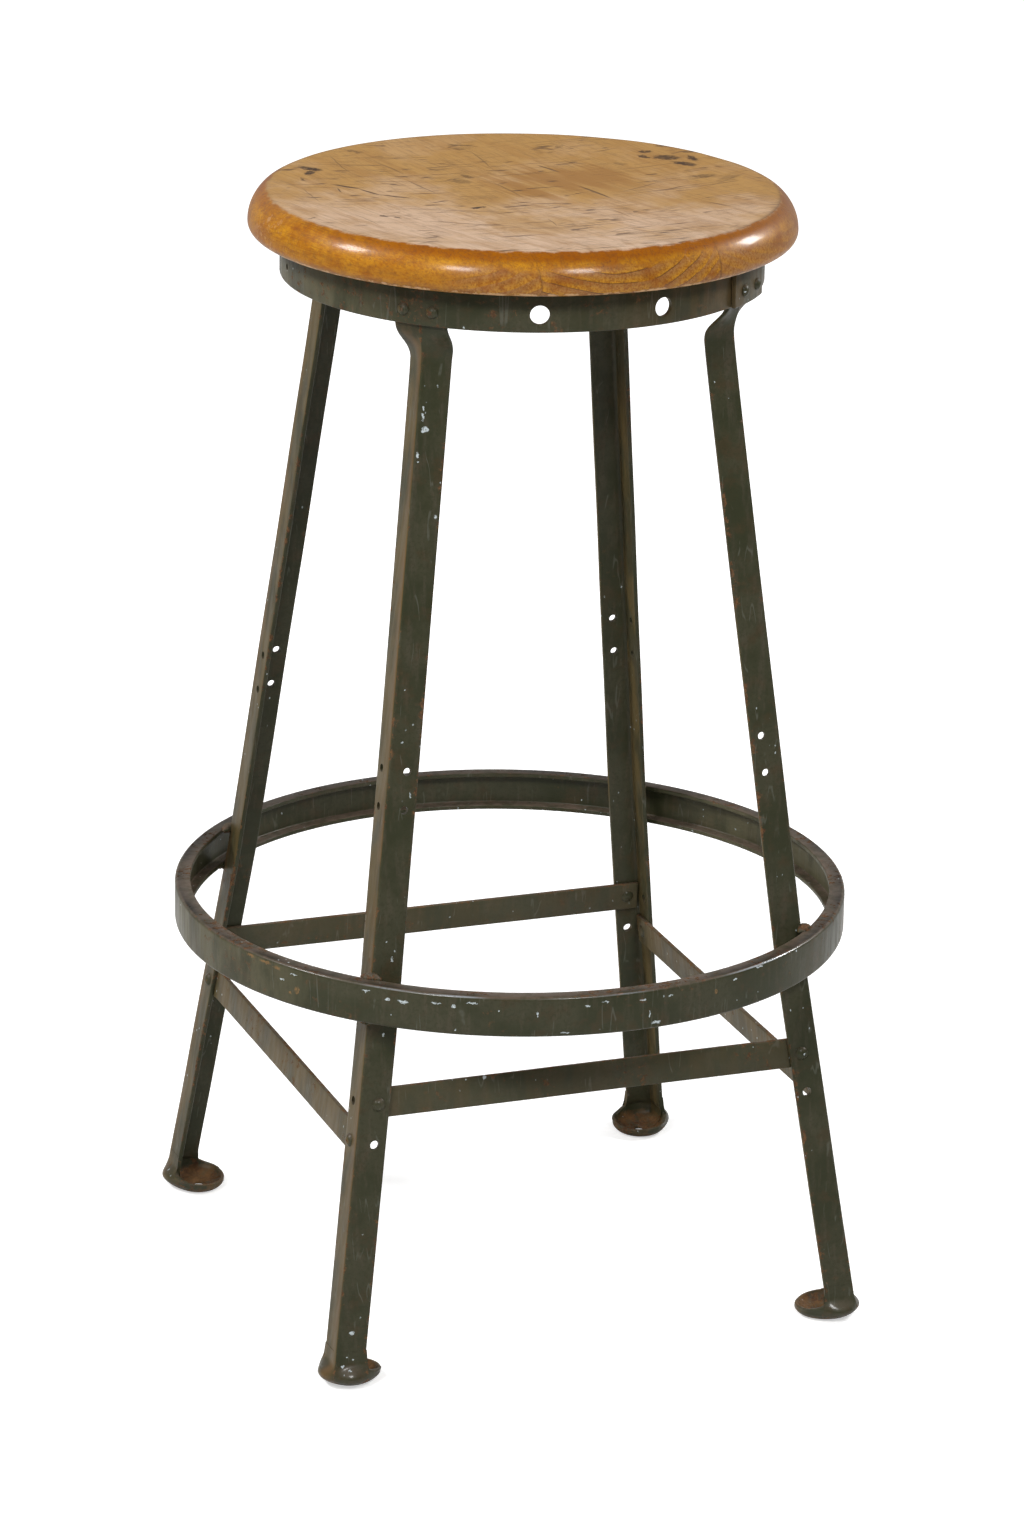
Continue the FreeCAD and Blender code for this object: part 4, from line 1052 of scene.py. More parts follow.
def make_brace(number, name, azimuth):
    height = BRACE_HEIGHTS[name]
    end = brace_reach(height) + BRACE_OVERHANG
    along = with_round_ends(np.linspace(-end, end, 60))
    bow = 0.2 * (1 + unevenness(80 + number, along, length=160.0)) * (1 - (along / end) ** 2)
    path = np.stack([along, STOCK / 2 + bow, 0.2 * bow], axis=-1)
    inwards = np.broadcast_to([0.0, 1.0, 0.0], path.shape)
    points, faces = strip(path, np.broadcast_to(UP, path.shape), inwards, BRACE_HALF_HEIGHT)
    brace = make_object(f"brace_strip_{name}", [(on_side(points, azimuth, height), faces)])
    from_end = end - abs(points[:, 0])
    edge = np.minimum(BRACE_HALF_HEIGHT - abs(points[:, 2]), from_end)
    top = smooth_step(BRACE_HALF_HEIGHT - 1.2, BRACE_HALF_HEIGHT, points[:, 2])
    wear = 0.35 * np.exp(-edge / 1.0) + 0.25 * top + 0.25 * np.exp(-from_end / 14)
    keep_values(brace, wear=wear, tan=0.22 * np.exp(-edge / 1.4))
    hand_over(brace, brace_steel, "brace_steel", f"brace_{name}")


for number, (name, azimuth) in enumerate(SIDE_AZIMUTHS.items()):
    make_brace(number, name, azimuth)

# %% [markdown]
# ## Rivets
# Each rivet has a round factory head outside and a flatter one, closed by the hammer, inside. Its
# outline is two arcs joined by the shank, turned about its axis. No two heads are alike: each is a
# little out of round and has its own flats from the hammer. Paint is thin on the top of each crown.

# %% Rivets
BAND_RIVET, BRACE_RIVET = (2.3, 3.9), (2.75, 4.3)  # radius of the shank and of the head
HEAD_RISE, TAIL_RISE = 2.4, 1.8
OUT_OF_ROUND, DENT = 0.035, 0.10
BAND_RIVET_HALF_SPACING, BAND_RIVET_RISE = 9.5, 9.0
LAP_LEG = "front_right"  # where the band overlaps itself, so its rivets start one layer further out


def crown(head, rise):
    """Radius and rise of an arc from a head's middle to its edge."""
    radius = (head ** 2 + rise ** 2) / (2 * rise)
    angle = np.linspace(0, math.asin(head / radius), 12)
    return radius * np.sin(angle), radius * np.cos(angle) - radius + rise


def rivet_shell(head_at, tail_at, size, seed):
    """A turned outline: crown arc, shank, closed head arc. The axis is x, with the head at +x.

    Each point is (place along the axis, radius * cos(angle), radius * sin(angle)).
    """
    shank, head = size
    across, out = crown(head, HEAD_RISE)
    back, down = crown(head, TAIL_RISE)
    radius = np.concatenate([across, [head * 0.995, shank, shank, head * 0.995], back[::-1]])[:, None]
    neck = [head_at - 0.15, head_at - 0.15, tail_at + 0.15, tail_at + 0.15]
    place = np.concatenate([head_at + out, neck, tail_at - down[::-1]])[:, None]
    radius[[0, -1]] = 1e-3  # the poles are circles too small to see
    angle = np.linspace(0, 2 * math.pi, 33)[:-1]
    c, s = np.cos(angle), np.sin(angle)
    hammered = radius * (1 + OUT_OF_ROUND * unevenness(seed, c * 6, s * 6, length=6.0))
    dents = DENT * unevenness(seed + 1, radius * c, radius * s, length=5.0)
    x = place - abs(dents) * np.sign(place - (head_at + tail_at) / 2)
    return shell(np.stack([x, hammered * c, hammered * s], axis=-1))


def make_rivets(name, node, size, seed, head_at, tail_at, placed):
    """Two rivets, one on each side, each put in its place by a function of its points and side."""
    shells, wear = [], []
    for side in (-1, 1):
        points, faces = rivet_shell(head_at, tail_at, size, seed + side)
        wear.append(np.clip((points[:, 0] - head_at) / HEAD_RISE, 0, 1) ** 2 * 0.5)
        shells.append((placed(points, side), faces))
    rivets = make_object(name, shells)
    keep_values(rivets, wear=np.concatenate(wear))
    hand_over(rivets, rivet_steel, "rivet_steel", node)


for number, (name, azimuth) in enumerate(LEG_AZIMUTHS.items()):
    def in_band(points, side):
        place = [0, side * BAND_RIVET_HALF_SPACING, band_low[2] + BAND_RIVET_RISE]
        return turned(points + place, azimuth)

    head_at = band_radius + (STOCK + LAP_CLEARANCE if name == LAP_LEG else 0.0)
    make_rivets(f"band_rivet_pair_{name}", f"band_rivets_{name}", BAND_RIVET, 100 + 2 * number,
                head_at, TONGUE_FACE - STOCK, in_band)

for number, (name, azimuth) in enumerate(SIDE_AZIMUTHS.items()):
    def in_brace(points, side):
        height = BRACE_HEIGHTS[name]
        flat = [points[:, 1] + side * brace_reach(height), -points[:, 0], points[:, 2]]
        return on_side(np.stack(flat, axis=-1), azimuth, height)

    make_rivets(f"brace_rivet_pair_{name}", f"brace_rivets_{name}", BRACE_RIVET, 140 + 2 * number,
                STOCK * math.cos(flange_tilt), -STOCK, in_brace)

# %% [markdown]
# ## The seat screws
# The screws that hold the seat show only from below. Their frame pieces have the right shape, so
# they stay, and get the dull steel of an old wood screw.

# %% Screws
SCREW_STEEL, SCREW_RUST = (0.13, 0.12, 0.10), (0.09, 0.045, 0.022)
steel = Finish("old_screw_steel")
grain = steel.noise(1.5, detail=5, rough=0.7)
colour = steel.mix(steel.ramp(grain, 0.4, 0.65), SCREW_STEEL, SCREW_RUST)
screw_steel = steel.finish(colour, steel.ramp(grain, 0.3, 0.7, 0.35, 0.7), grain, 0.05, metallic=0.8)
for name in LEG_AZIMUTHS:
    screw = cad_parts[f"seat_screw_{name}"]
    screw.data.materials.clear()
    screw.data.materials.append(screw_steel)
    print(f"{screw.name}: {len(screw.data.polygons)} faces")

# %% [markdown]
# ## The seat
# Boards were glued edge to edge, and the blank was turned on a faceplate: a shallow dish, a crease,
# a fat round edge and a flat underside. A turned thing is a profile and a circle, so the whole
# blank is one grid. It is then cut along the seams, because each board has its own grain.

# %% Seat surface
SEAT_CREASE_INSET, DISH_DEPTH, LOWER_ROUND = 11.5, 5.0, 5.5
SEAT_TURNS = 640
seat_radius = seat_high[0]
seat_thickness = seat_high[2] - seat_low[2]
crease_radius = seat_radius - SEAT_CREASE_INSET


def seat_profile():
    """Radius and height from the middle of the dish, over the crease and the edge, to below."""
    across = np.linspace(0, 1, 90) * crease_radius
    sphere = (crease_radius ** 2 + DISH_DEPTH ** 2) / (2 * DISH_DEPTH)
    bowl = seat_high[2] - DISH_DEPTH + sphere - np.sqrt(sphere ** 2 - across ** 2)
    rise = seat_thickness - LOWER_ROUND
    big = (SEAT_CREASE_INSET ** 2 + rise ** 2) / (2 * SEAT_CREASE_INSET)
    upper = np.linspace(math.asin(rise / big), 0, 34)[1:]
    lower = np.linspace(0, -math.pi / 2, 12)[1:]
    below = np.linspace(seat_radius - LOWER_ROUND, 0, 24)[1:]
    radius = [across, seat_radius - big + big * np.cos(upper),
              seat_radius - LOWER_ROUND + LOWER_ROUND * np.cos(lower), below]
    level = seat_low[2] + LOWER_ROUND
    height = [bowl, level + big * np.sin(upper), level + LOWER_ROUND * np.sin(lower),
              np.full(len(below), seat_low[2])]
    return np.concatenate(radius)[:, None], np.concatenate(height)[:, None]


def seat_shell():
    """The turned blank, with the gentle waves and the blunted crease of long use.

    Each point is (radius * cos(angle), radius * sin(angle), height less what use has worn away).
    """
    radius, height = seat_profile()
    angle = np.linspace(0, 2 * math.pi, SEAT_TURNS + 1)[:-1]
    x, y = radius * np.cos(angle), radius * np.sin(angle)
    crest = bell(radius, crease_radius, 2.2) * (height > seat_high[2] - 3)
    blunt = crest * (0.55 + 0.25 * unevenness(71, x, y, length=60.0))
    hollows = 0.35 * (1 + unevenness(72, x, y, length=110.0)) * (radius < crease_radius - 4)
    hollows = hollows * smooth_step(crease_radius, 100, radius)
    z = height - np.where(height > seat_low[2] + seat_thickness / 2, blunt + hollows, 0)
    x, y = x * (1 - 1e-3 * crest), y * (1 - 1e-3 * crest)
    for line in (x, y):
        line[[0, -1]] = line[[1, -2]] * 0.01  # the poles are circles too small to see
    return shell(np.stack([x, y, z], axis=-1))


print(f"seat: crease {crease_radius:.1f} mm from the axis, edge {seat_radius:.1f} mm")

# %% [markdown]
# ## Where the seat is stained and worn
# Marks on the seat follow where people sat and where things were spilt, so each is placed where the
# picture shows it: a pixel is followed to the level of the seat. Scratches and stains are thin
# ellipses in the finish, which breaks their outline up. The two broad worn places are numbers that
# the mesh keeps at each point.

# %% Seat marks
MARK_DEPTH = 3.5
seat_top = seat_high[2] - MARK_DEPTH
SCRATCHES = (
    # pixels of both ends, half width in pixels, strength
    (332, 186, 360, 189, 0.8, 1.0), (358, 189, 382, 195, 0.8, 0.9), (380, 194, 411, 197, 0.8, 0.8),
    (337, 189, 342, 194, 0.9, 0.8), (326, 158, 352, 176, 0.55, 0.5), (372, 163, 408, 175, 0.6, 0.5),
    (404, 178, 442, 194, 0.65, 0.6), (466, 150, 496, 170, 0.6, 0.5), (380, 207, 530, 210, 0.45, 0.5),
    (418, 220, 532, 227, 0.5, 0.6), (536, 164, 560, 171, 0.8, 0.8), (576, 183, 616, 198, 1.0, 0.8),
    (620, 191, 664, 181, 0.6, 0.5), (706, 203, 732, 209, 0.7, 0.6), (528, 201, 568, 200, 0.6, 0.6),
    (520, 228, 566, 227, 0.6, 0.5), (596, 219, 609, 219, 0.9, 0.7), (547, 216, 558, 226, 0.6, 0.6),
    (440, 205, 486, 214, 0.45, 0.4), (600, 236, 640, 224, 0.45, 0.4), (700, 190, 752, 176, 0.45, 0.4),
    (489, 178, 528, 196, 0.6, 0.5), (640, 214, 690, 205, 0.45, 0.4), (300, 190, 322, 206, 0.6, 0.5),
    (556, 240, 604, 238, 0.45, 0.4), (352, 214, 384, 230, 0.5, 0.45), (610, 206, 634, 218, 0.5, 0.45),
)
STAINS = (
    # the same columns
    (303, 172, 317, 173, 2.0, 1.0), (306, 178, 312, 175, 2.8, 1.0), (300, 181, 304, 184, 1.2, 0.8),
    (322, 152, 332, 150, 1.3, 0.8), (393, 142, 403, 141, 1.5, 0.8), (349, 155, 360, 156, 1.4, 0.5),
    (472, 206, 485, 204, 1.1, 1.0), (450, 148, 472, 148, 1.0, 0.6), (452, 151, 470, 151, 0.8, 0.45),
    (456, 179, 466, 180, 2.2, 0.45), (464, 174, 471, 176, 1.8, 0.5), (640, 155, 651, 155, 1.0, 0.9),
    (640, 158, 648, 160, 1.4, 0.9), (657, 151, 672, 150, 1.2, 0.8), (660, 160, 673, 161, 2.5, 0.9),
    (676, 165, 693, 168, 2.0, 1.0), (688, 160, 695, 164, 2.8, 1.0), (684, 157, 702, 156, 1.1, 0.7),
    (693, 178, 712, 178, 1.9, 0.6), (616, 164, 624, 165, 1.4, 0.4), (634, 210, 637, 211, 1.2, 0.9),
    (382, 216, 386, 217, 1.0, 0.9), (396, 217, 401, 218, 1.0, 0.7), (720, 182, 738, 179, 2.0, 0.35),
    (556, 150, 562, 148, 1.4, 0.4), (310, 224, 316, 222, 1.0, 0.6), (425, 242, 436, 240, 1.4, 0.5),
)
WORN_MARKS = (
    # pixel across, pixel down, half length, half width, turn in degrees, strength
    (574, 176, 46, 30, 10, 1.0),
    (538, 188, 30, 20, 40, 0.65),
)


def pixel_segment(x0, y0, x1, y1, half_width):
    """Middle, half length, half width and turn, on the seat's level, of a line between two pixels."""
    first, last = seen_at((x0, y0), seat_top), seen_at((x1, y1), seat_top)
    along = last - first
    length = np.hypot(*along)
    reach = half_width / math.hypot(x1 - x0, y1 - y0)
    aside = seen_at((x0 - (y1 - y0) * reach, y0 + (x1 - x0) * reach), seat_top) - first
    wide = abs(along[0] * aside[1] - along[1] * aside[0]) / length
    return (first + last) / 2, length / 2, wide, math.degrees(math.atan2(along[1], along[0]))


def worn_strength(points):
    """The stronger of the worn ellipses, each falling off smoothly from its middle."""
    total = np.zeros(len(points))
    for across, down, length, width, turn, strength in WORN_MARKS:
        middle = seen_at((across, down), seat_top)
        u, v = turned(points - [*middle, 0], -turn)[:, :2].T
        total = np.maximum(total, strength * bell(u, 0, length) * bell(v, 0, width))
    return total * (points[:, 2] > seat_top - 6)


print("marks on the seat:", len(SCRATCHES), "scratches,", len(STAINS), "stains")

# %% [markdown]
# ## Varnished, worn hardwood
# Wood is a solid material: growth rings are cylinders about the heart of the tree, far outside the
# board, and every face of the board is a cut through them. So the pattern is worked out in space,
# in a frame that lies along the grain, with another heart for each board. On the flat top the cut is
# nearly along the fibres and gives long soft streaks; on the rim across the ends it gives arcs. The
# varnish has lasted only on the rim, where it is amber and glossy. The top is bare, matt, pale and
# full of fine scratches, mostly along the grain.

# %% Wood finish
GRAIN_AZIMUTH = -73.7
# painted glare: the top grows paler and more grey towards this azimuth, the camera's; partly worn wood,
# partly painted glare
GLARE_AZIMUTH = -110  # the side towards which the top grows pale
RING_SPACING = 6.2
TOP_TAN, TOP_PALE_AND_GLARE = (0.43, 0.238, 0.070), (0.61, 0.425, 0.290)
TOP_WORN, TOP_DARK = (0.31, 0.146, 0.034), (0.075, 0.038, 0.020)
AMBER, AMBER_DEEP, AMBER_RED = (0.53, 0.235, 0.008), (0.30, 0.090, 0.001), (0.22, 0.055, 0.004)
RIM_BROWN_AND_SHADE, PALE_EDGE = (0.27, 0.112, 0.022), (0.66, 0.40, 0.19)
END_PALE, END_DARK = (0.34, 0.160, 0.045), (0.11, 0.045, 0.018)
UNDER_WOOD, STAIN = (0.42, 0.28, 0.15), (0.042, 0.020, 0.009)
FINE_SCRATCHES = (
    # degrees from the grain, millimetres apart, stretch, width as a share of the noise, shift
    (3, 11, 16, 0.010, 1.3), (24, 13, 14, 0.008, 5.1),
    (-31, 14, 13, 0.008, 9.7), (47, 17, 12, 0.007, 14.2),
)


def fine_scratches(wood):
    """Thin lines where a stretched noise crosses one half, broken up by a coarser noise."""
    cuts = []
    for turn, spacing, stretch, width, shift in FINE_SCRATCHES:
        aside = shift * 20 * MM
        along = wood.moved(shift=(aside, aside, 0), turn=turn - GRAIN_AZIMUTH,
                           scale=(1 / stretch, 1, 0.2))
        line = wood.lines(wood.noise(spacing, along, detail=2, rough=0.35), width, width * 0.3)
        broken = wood.clouds(26, (0.50, 0.57), place=wood.moved(shift=(shift, 0, 0)), detail=2)
        cuts.append(wood.times(line, broken))
    return wood.times(wood.strongest(cuts), 0.75)


def placed_marks(wood, marks, place, across_range):
    """A thin ellipse for each mark that touches this board."""
    found = []
    for *line, strength in marks:
        middle, half, wide, turn = pixel_segment(*line)
        across = turned(np.array([*middle, 0.0]), -GRAIN_AZIMUTH)[1]
        if across_range[0] - half < across < across_range[1] + half:
            mark = wood.mark((*middle, seat_top), (half + wide, wide, 30), turn, place, 0.5)
            found.append(wood.times(mark, strength))
    return found


def wood_top(wood, fibre, threads, streaks, late, across_range):
    """The bare top: tan wood, a front paler and more grey from wear and painted glare, dark streaks,
    scratches and stains.
    """
    # worn wood and painted glare: the top is paler and more grey towards the front
    front = wood.axis(wood.moved(turn=-GLARE_AZIMUTH), "X")
    greyer_and_glare = wood.sum(wood.ramp(front, -0.10, 0.17, 0.0, 0.9),
                      wood.clouds(60, (0.36, 0.64, -0.26, 0.26), detail=5, rough=0.6))
    top = wood.mix(wood.ramp(greyer_and_glare, 0.0, 1.0), TOP_TAN, TOP_PALE_AND_GLARE)
    top = wood.mix(wood.ramp(streaks, 0.46, 0.68, 0.0, 0.30), top, TOP_WORN)
    top = wood.mix(wood.times(late, 0.14), top, TOP_WORN)
    top = wood.mix(wood.ramp(threads, 0.50, 0.66, 0.0, 0.28), top, TOP_DARK)
    top = wood.wash(top, TOP_WORN, 24, (0.50, 0.66, 0.0, 0.40), detail=6, rough=0.7, bend=0.4,
                    place=wood.moved(fibre, scale=(0.4, 1, 1)))
    top = wood.wash(top, TOP_DARK, 5, (0.50, 0.68, 0.0, 0.22), detail=6, rough=0.75,
                    place=wood.moved(fibre, scale=(0.5, 1, 1)))
    worn = wood.sum(wood.value("worn"), wood.ramp(streaks, 0.36, 0.64, -0.3, 0.3))
    top = wood.mix(wood.ramp(worn, 0.25, 0.8, 0.0, 0.85), top, TOP_WORN)
    deep = placed_marks(wood, SCRATCHES, wood.shaken(30, 2.0), across_range)
    deep = wood.strongest([fine_scratches(wood)] + deep)
    top = wood.mix(wood.times(deep, 0.95), top, TOP_DARK)
    dark = placed_marks(wood, STAINS, wood.shaken(3.5, 3.4), across_range)
    if dark:
        blotchy = wood.clouds(3.5, (0.36, 0.50, 0.45, 1.0), detail=5, rough=0.7)
        top = wood.mix(wood.times(wood.strongest(dark), blotchy), top, STAIN)
    return wood.mix(wood.value("grime"), top, TOP_DARK), deep


def between_depths(wood, level, first, last, *ends):
    """A ramp between two depths, in millimetres, below the top of the seat."""
    return wood.ramp(level, (seat_high[2] - first) * MM, (seat_high[2] - last) * MM, *ends)


def wood_rim(wood, fibre, threads, wander, rings, level, cracked):
    """The varnished edge: amber, deeper under the crease, browner low down (painted shade), and cut rings
    across the ends.
    """
    amber = wood.wash(AMBER, AMBER_DEEP, 20, (0.36, 0.64, 0.1, 0.8), detail=6, rough=0.75)
    deep = wood.times(between_depths(wood, level, 7.5, 3.5), wood.value("deep"))
    amber = wood.mix(deep, amber, AMBER_DEEP)
    # painted shade: the lower rim, which faces down, is mixed towards brown
    low = between_depths(wood, level, 11, 17, 0.0, 0.45)
    amber = wood.mix(wood.math("MAXIMUM", low, wood.value("brown")), amber, RIM_BROWN_AND_SHADE)
    amber = wood.wash(amber, AMBER_RED, 28, (0.50, 0.66, 0.0, 0.5), detail=6, rough=0.7)
    amber = wood.mix(wood.ramp(threads, 0.48, 0.64, 0.0, 0.45), amber, AMBER_RED)
    crackle = wood.noise(7, wood.moved(scale=(1, 1, 1.6)), detail=5, rough=0.7)
    crackle = wood.lines(crackle, 0.012, 0.003)
    crackle = wood.times(crackle, wood.clouds(30, (0.46, 0.56), detail=2), 0.45)
    amber = wood.mix(crackle, amber, END_DARK)

    unit = wood.vector("NORMALIZE", wood.moved(fibre, scale=(1, 1, 0)))
    along = wood.sum(wood.math("ABSOLUTE", wood.axis(unit, "X")), wood.ramp(wander, 0, 1, -0.1, 0.1))
    end = wood.ramp(along, 0.56, 0.72)
    cut_grain = wood.mix(wood.ramp(rings, 0.1, 0.9, 0.0, 0.35 + 0.4 * cracked), END_PALE, AMBER)
    cut_grain = wood.wash(cut_grain, AMBER_RED, 15, (0.50, 0.64, 0.0, 0.55), detail=4, rough=0.6)
    cut_grain = wood.wash(cut_grain, AMBER_RED, 1.3, (0.44, 0.62, 0.0, 0.65), detail=4, rough=0.7)
    breaks = wood.clouds(26, (0.38, 0.46), detail=3, rough=0.6)
    cracks = wood.times(wood.ramp(rings, 0.88, 0.97), breaks, cracked)
    cut_grain = wood.mix(wood.times(cracks, 0.9), cut_grain, END_DARK)
    wavy = wood.sum(level, wood.ramp(wander, 0, 1, -0.004, 0.004))
    low_rim = between_depths(wood, wavy, 6.5, 11)

    rim = wood.mix(wood.times(end, low_rim), amber, cut_grain)
    rim = wood.wash(rim, END_DARK, 3.2, (0.46, 0.64, 0.0, 0.38), detail=6, rough=0.85,
                    place=wood.moved(fibre, scale=(0.5, 1, 1)))
    specks = wood.times(wood.clouds(2.0, (0.56, 0.68), detail=5, rough=0.8),
                        wood.clouds(45, (0.45, 0.58, 0.1, 0.7), detail=2))
    rim = wood.mix(specks, rim, TOP_DARK)
    uneven = wood.clouds(7, (0.36, 0.64, -0.35, 0.35), detail=5, rough=0.7)
    rubbed = wood.ramp(wood.sum(wood.value("rubbed"), uneven), 0.42, 0.8, 0.0, 0.8)
    rim = wood.mix(rubbed, rim, PALE_EDGE)
    rim = wood.mix(wood.value("seam"), rim, END_DARK)
    return rim, wood.times(cracks, end, low_rim), rubbed


def wood_finish(number, heart, shade, cracked, across_range):
    """One board: heart is the place of the tree's middle across the board and up, in millimetres.

    The rings are the distance from the heart, divided by their spacing, without its whole part.
    """
    wood = Finish(f"board_{number}_maple")
    fibre = wood.moved(turn=-GRAIN_AZIMUTH)
    level = wood.axis(wood.place, "Z")
    wander = wood.noise(60, wood.moved(fibre, scale=(0.35, 1, 1)), detail=2)
    trunk = wood.moved(fibre, shift=(0.0, -heart[0] * MM, -heart[1] * MM))
    distance = wood.length(wood.moved(trunk, scale=(0.02, 1, 1)))
    distance = wood.sum(distance, wood.ramp(wander, 0, 1, -0.004, 0.004))
    rings = wood.math("FRACT", wood.times(distance, 1 / (RING_SPACING * MM)))
    late = wood.ramp(rings, 0.55, 0.98)
    threads = wood.noise(1.1, wood.moved(fibre, scale=(0.03, 1, 1)), detail=4, rough=0.6)
    streaks = wood.noise(9, wood.moved(fibre, scale=(0.10, 1, 1)), detail=4, rough=0.6)

    top, deep = wood_top(wood, fibre, threads, streaks, late, across_range)
    rim, cracks, rubbed = wood_rim(wood, fibre, threads, wander, rings, level, cracked)
    ragged = wood.clouds(14, (0.36, 0.64, -0.9, 0.9), detail=6, rough=0.7)
    reach = wood.sum(wood.times(wood.length(wood.moved(scale=(1, 1, 0))), 1 / MM), ragged)
    bare = wood.ramp(reach, crease_radius + 1.2, crease_radius - 1.2)
    bare = wood.times(bare, between_depths(wood, level, 8, 7))
    below = wood.ramp(level, (seat_low[2] + 0.6) * MM, (seat_low[2] + 0.1) * MM)
    under = wood.mix(wood.ramp(streaks, 0.3, 0.7), UNDER_WOOD, TOP_WORN)
    colour = wood.mix(shade, wood.mix(below, wood.mix(bare, rim, top), under), TOP_WORN)

    matt = wood.strongest([bare, below, rubbed])
    height = wood.sum(wood.times(threads, 0.25), wood.times(deep, -0.8))
    height = wood.sum(height, wood.times(cracks, -1.0))
    height = wood.sum(height, wood.times(wood.noise(26, detail=2), 1.2))
    return wood.finish(colour, wood.ramp(matt, 0, 1, 0.38, 0.52), height, 0.14,
                       coat_weight=wood.ramp(matt, 0, 1, 0.22, 0.0), coat_roughness=0.15,
                       specular_ior_level=wood.ramp(matt, 0, 1, 0.12, 0.30))

# %% [markdown]
# ## Cutting the blank into boards
# A plane cut leaves an open edge, which is closed with one flat face. The boards keep a hair of
# space between them, so the glue line reads as a fine dark seam.

# %% Boards
import bmesh

SEAM_OFFSET, BOARD_WIDTH, SEAM_GAP = 22.0, 115.0, 0.06
SEAMS = [SEAM_OFFSET + BOARD_WIDTH * step for step in (-1, 0, 1)]
# for each board: where its tree's heart was, how much darker it is, how far its end grain is cracked
HEARTS = ((-160, 810), (-52, 786), (110, 850), (190, 560))
SHADES = (0.03, 0.0, 0.06, 0.08)
CRACKED = (0.45, 1.0, 0.12, 0.1)
# middle and spread in degrees, and strength
RUBBED_AZIMUTHS = ((-8, 14, 0.36), (-178, 12, 0.24))


def keep_between(mesh, low, high):
    """Cut away what lies beyond two upright planes along the seams, and close each cut."""
    work = bmesh.new()
    work.from_mesh(mesh)
    across = heading(GRAIN_AZIMUTH + 90)
    for edge, direction in ((low, -1), (high, 1)):
        if abs(edge) >= seat_radius:
            continue
        cut = bmesh.ops.bisect_plane(
            work, geom=work.verts[:] + work.edges[:] + work.faces[:], dist=1e-7,
            plane_co=across * edge * MM, plane_no=across * direction, clear_outer=True)
        rim = [item for item in cut["geom_cut"] if isinstance(item, bmesh.types.BMEdge)]
        bmesh.ops.contextual_create(work, geom=rim)
    bmesh.ops.recalc_face_normals(work, faces=work.faces[:])
    work.to_mesh(mesh)
    work.free()


def near_azimuth(points, middle, spread):
    """1 at one azimuth about the seat's middle, falling to a third spread degrees to each side."""
    return bell((around(points)[1] - middle + 180) % 360, 180, spread)


def rubbed_strength(points):
    """Varnish is rubbed off along the lower edge and where the seat was grasped."""
    total = 0.62 * bell(points[:, 2], seat_low[2] + 1.2, 1.3)
    for middle, spread, strength in RUBBED_AZIMUTHS:
        total = np.maximum(total, strength * near_azimuth(points, middle, spread))
    return total


def grime_strength(points):
    """Dirt has gathered in the crease, most of all at the right."""
    line = bell(around(points)[0], crease_radius - 0.6, 1.0) * (points[:, 2] > seat_high[2] - 6)
    return line * (0.25 + 0.55 * near_azimuth(points, -38, 24))


def seam_strength(points):
    """The glue lines, darker on one half of the seat and low down on the rim."""
    across = turned(points, -GRAIN_AZIMUTH)[:, 1]
    away = np.min([abs(across - seam) for seam in SEAMS], axis=0)
    low_down = 0.25 + 0.75 * smooth_step(seat_high[2] - 9, seat_high[2] - 13, points[:, 2])
    return np.where(across < 0, 0.3, 0.7) * low_down * bell(away, 0, 0.28)


def make_boards():
    edges = [-seat_radius, *SEAMS, seat_radius]
    blank = seat_shell()
    for number, node in enumerate(BOARDS):
        board = make_object(f"maple_board_{number + 1}", [blank])
        keep_between(board.data, edges[number] + SEAM_GAP, edges[number + 1] - SEAM_GAP)
        points = mesh_points(board)
        keep_values(board, worn=worn_strength(points), rubbed=rubbed_strength(points),
                    grime=grime_strength(points), seam=seam_strength(points),
                    deep=0.95 - 0.7 * near_azimuth(points, -168, 26),
                    brown=0.55 * near_azimuth(points, -22, 22))
        finish = wood_finish(number + 1, HEARTS[number], SHADES[number], CRACKED[number],
                             edges[number:number + 2])
        hand_over(board, finish, "seat_wood", node)


make_boards()

# %% [markdown]
# ## Floor, backdrop and light
# The stool stands in a white studio. The floor is a pale surface that lets the camera, and mirrors,
# see it brighter than it lights the room, so the ground is white and still keeps the shadows of the
# feet. Two soft boxes at the sides leave the faces that look at the camera dark and catch the faces
# that look sideways. Two more in front, left and right of the camera, put highlights on the varnish.

# %% Stage and lights
NEAR_GLOW, FAR_GLOW = 0.55, 1.0
PAPER_WHITE, PAPER_SHADE = (0.80, 0.80, 0.80), (0.82, 0.82, 0.815)


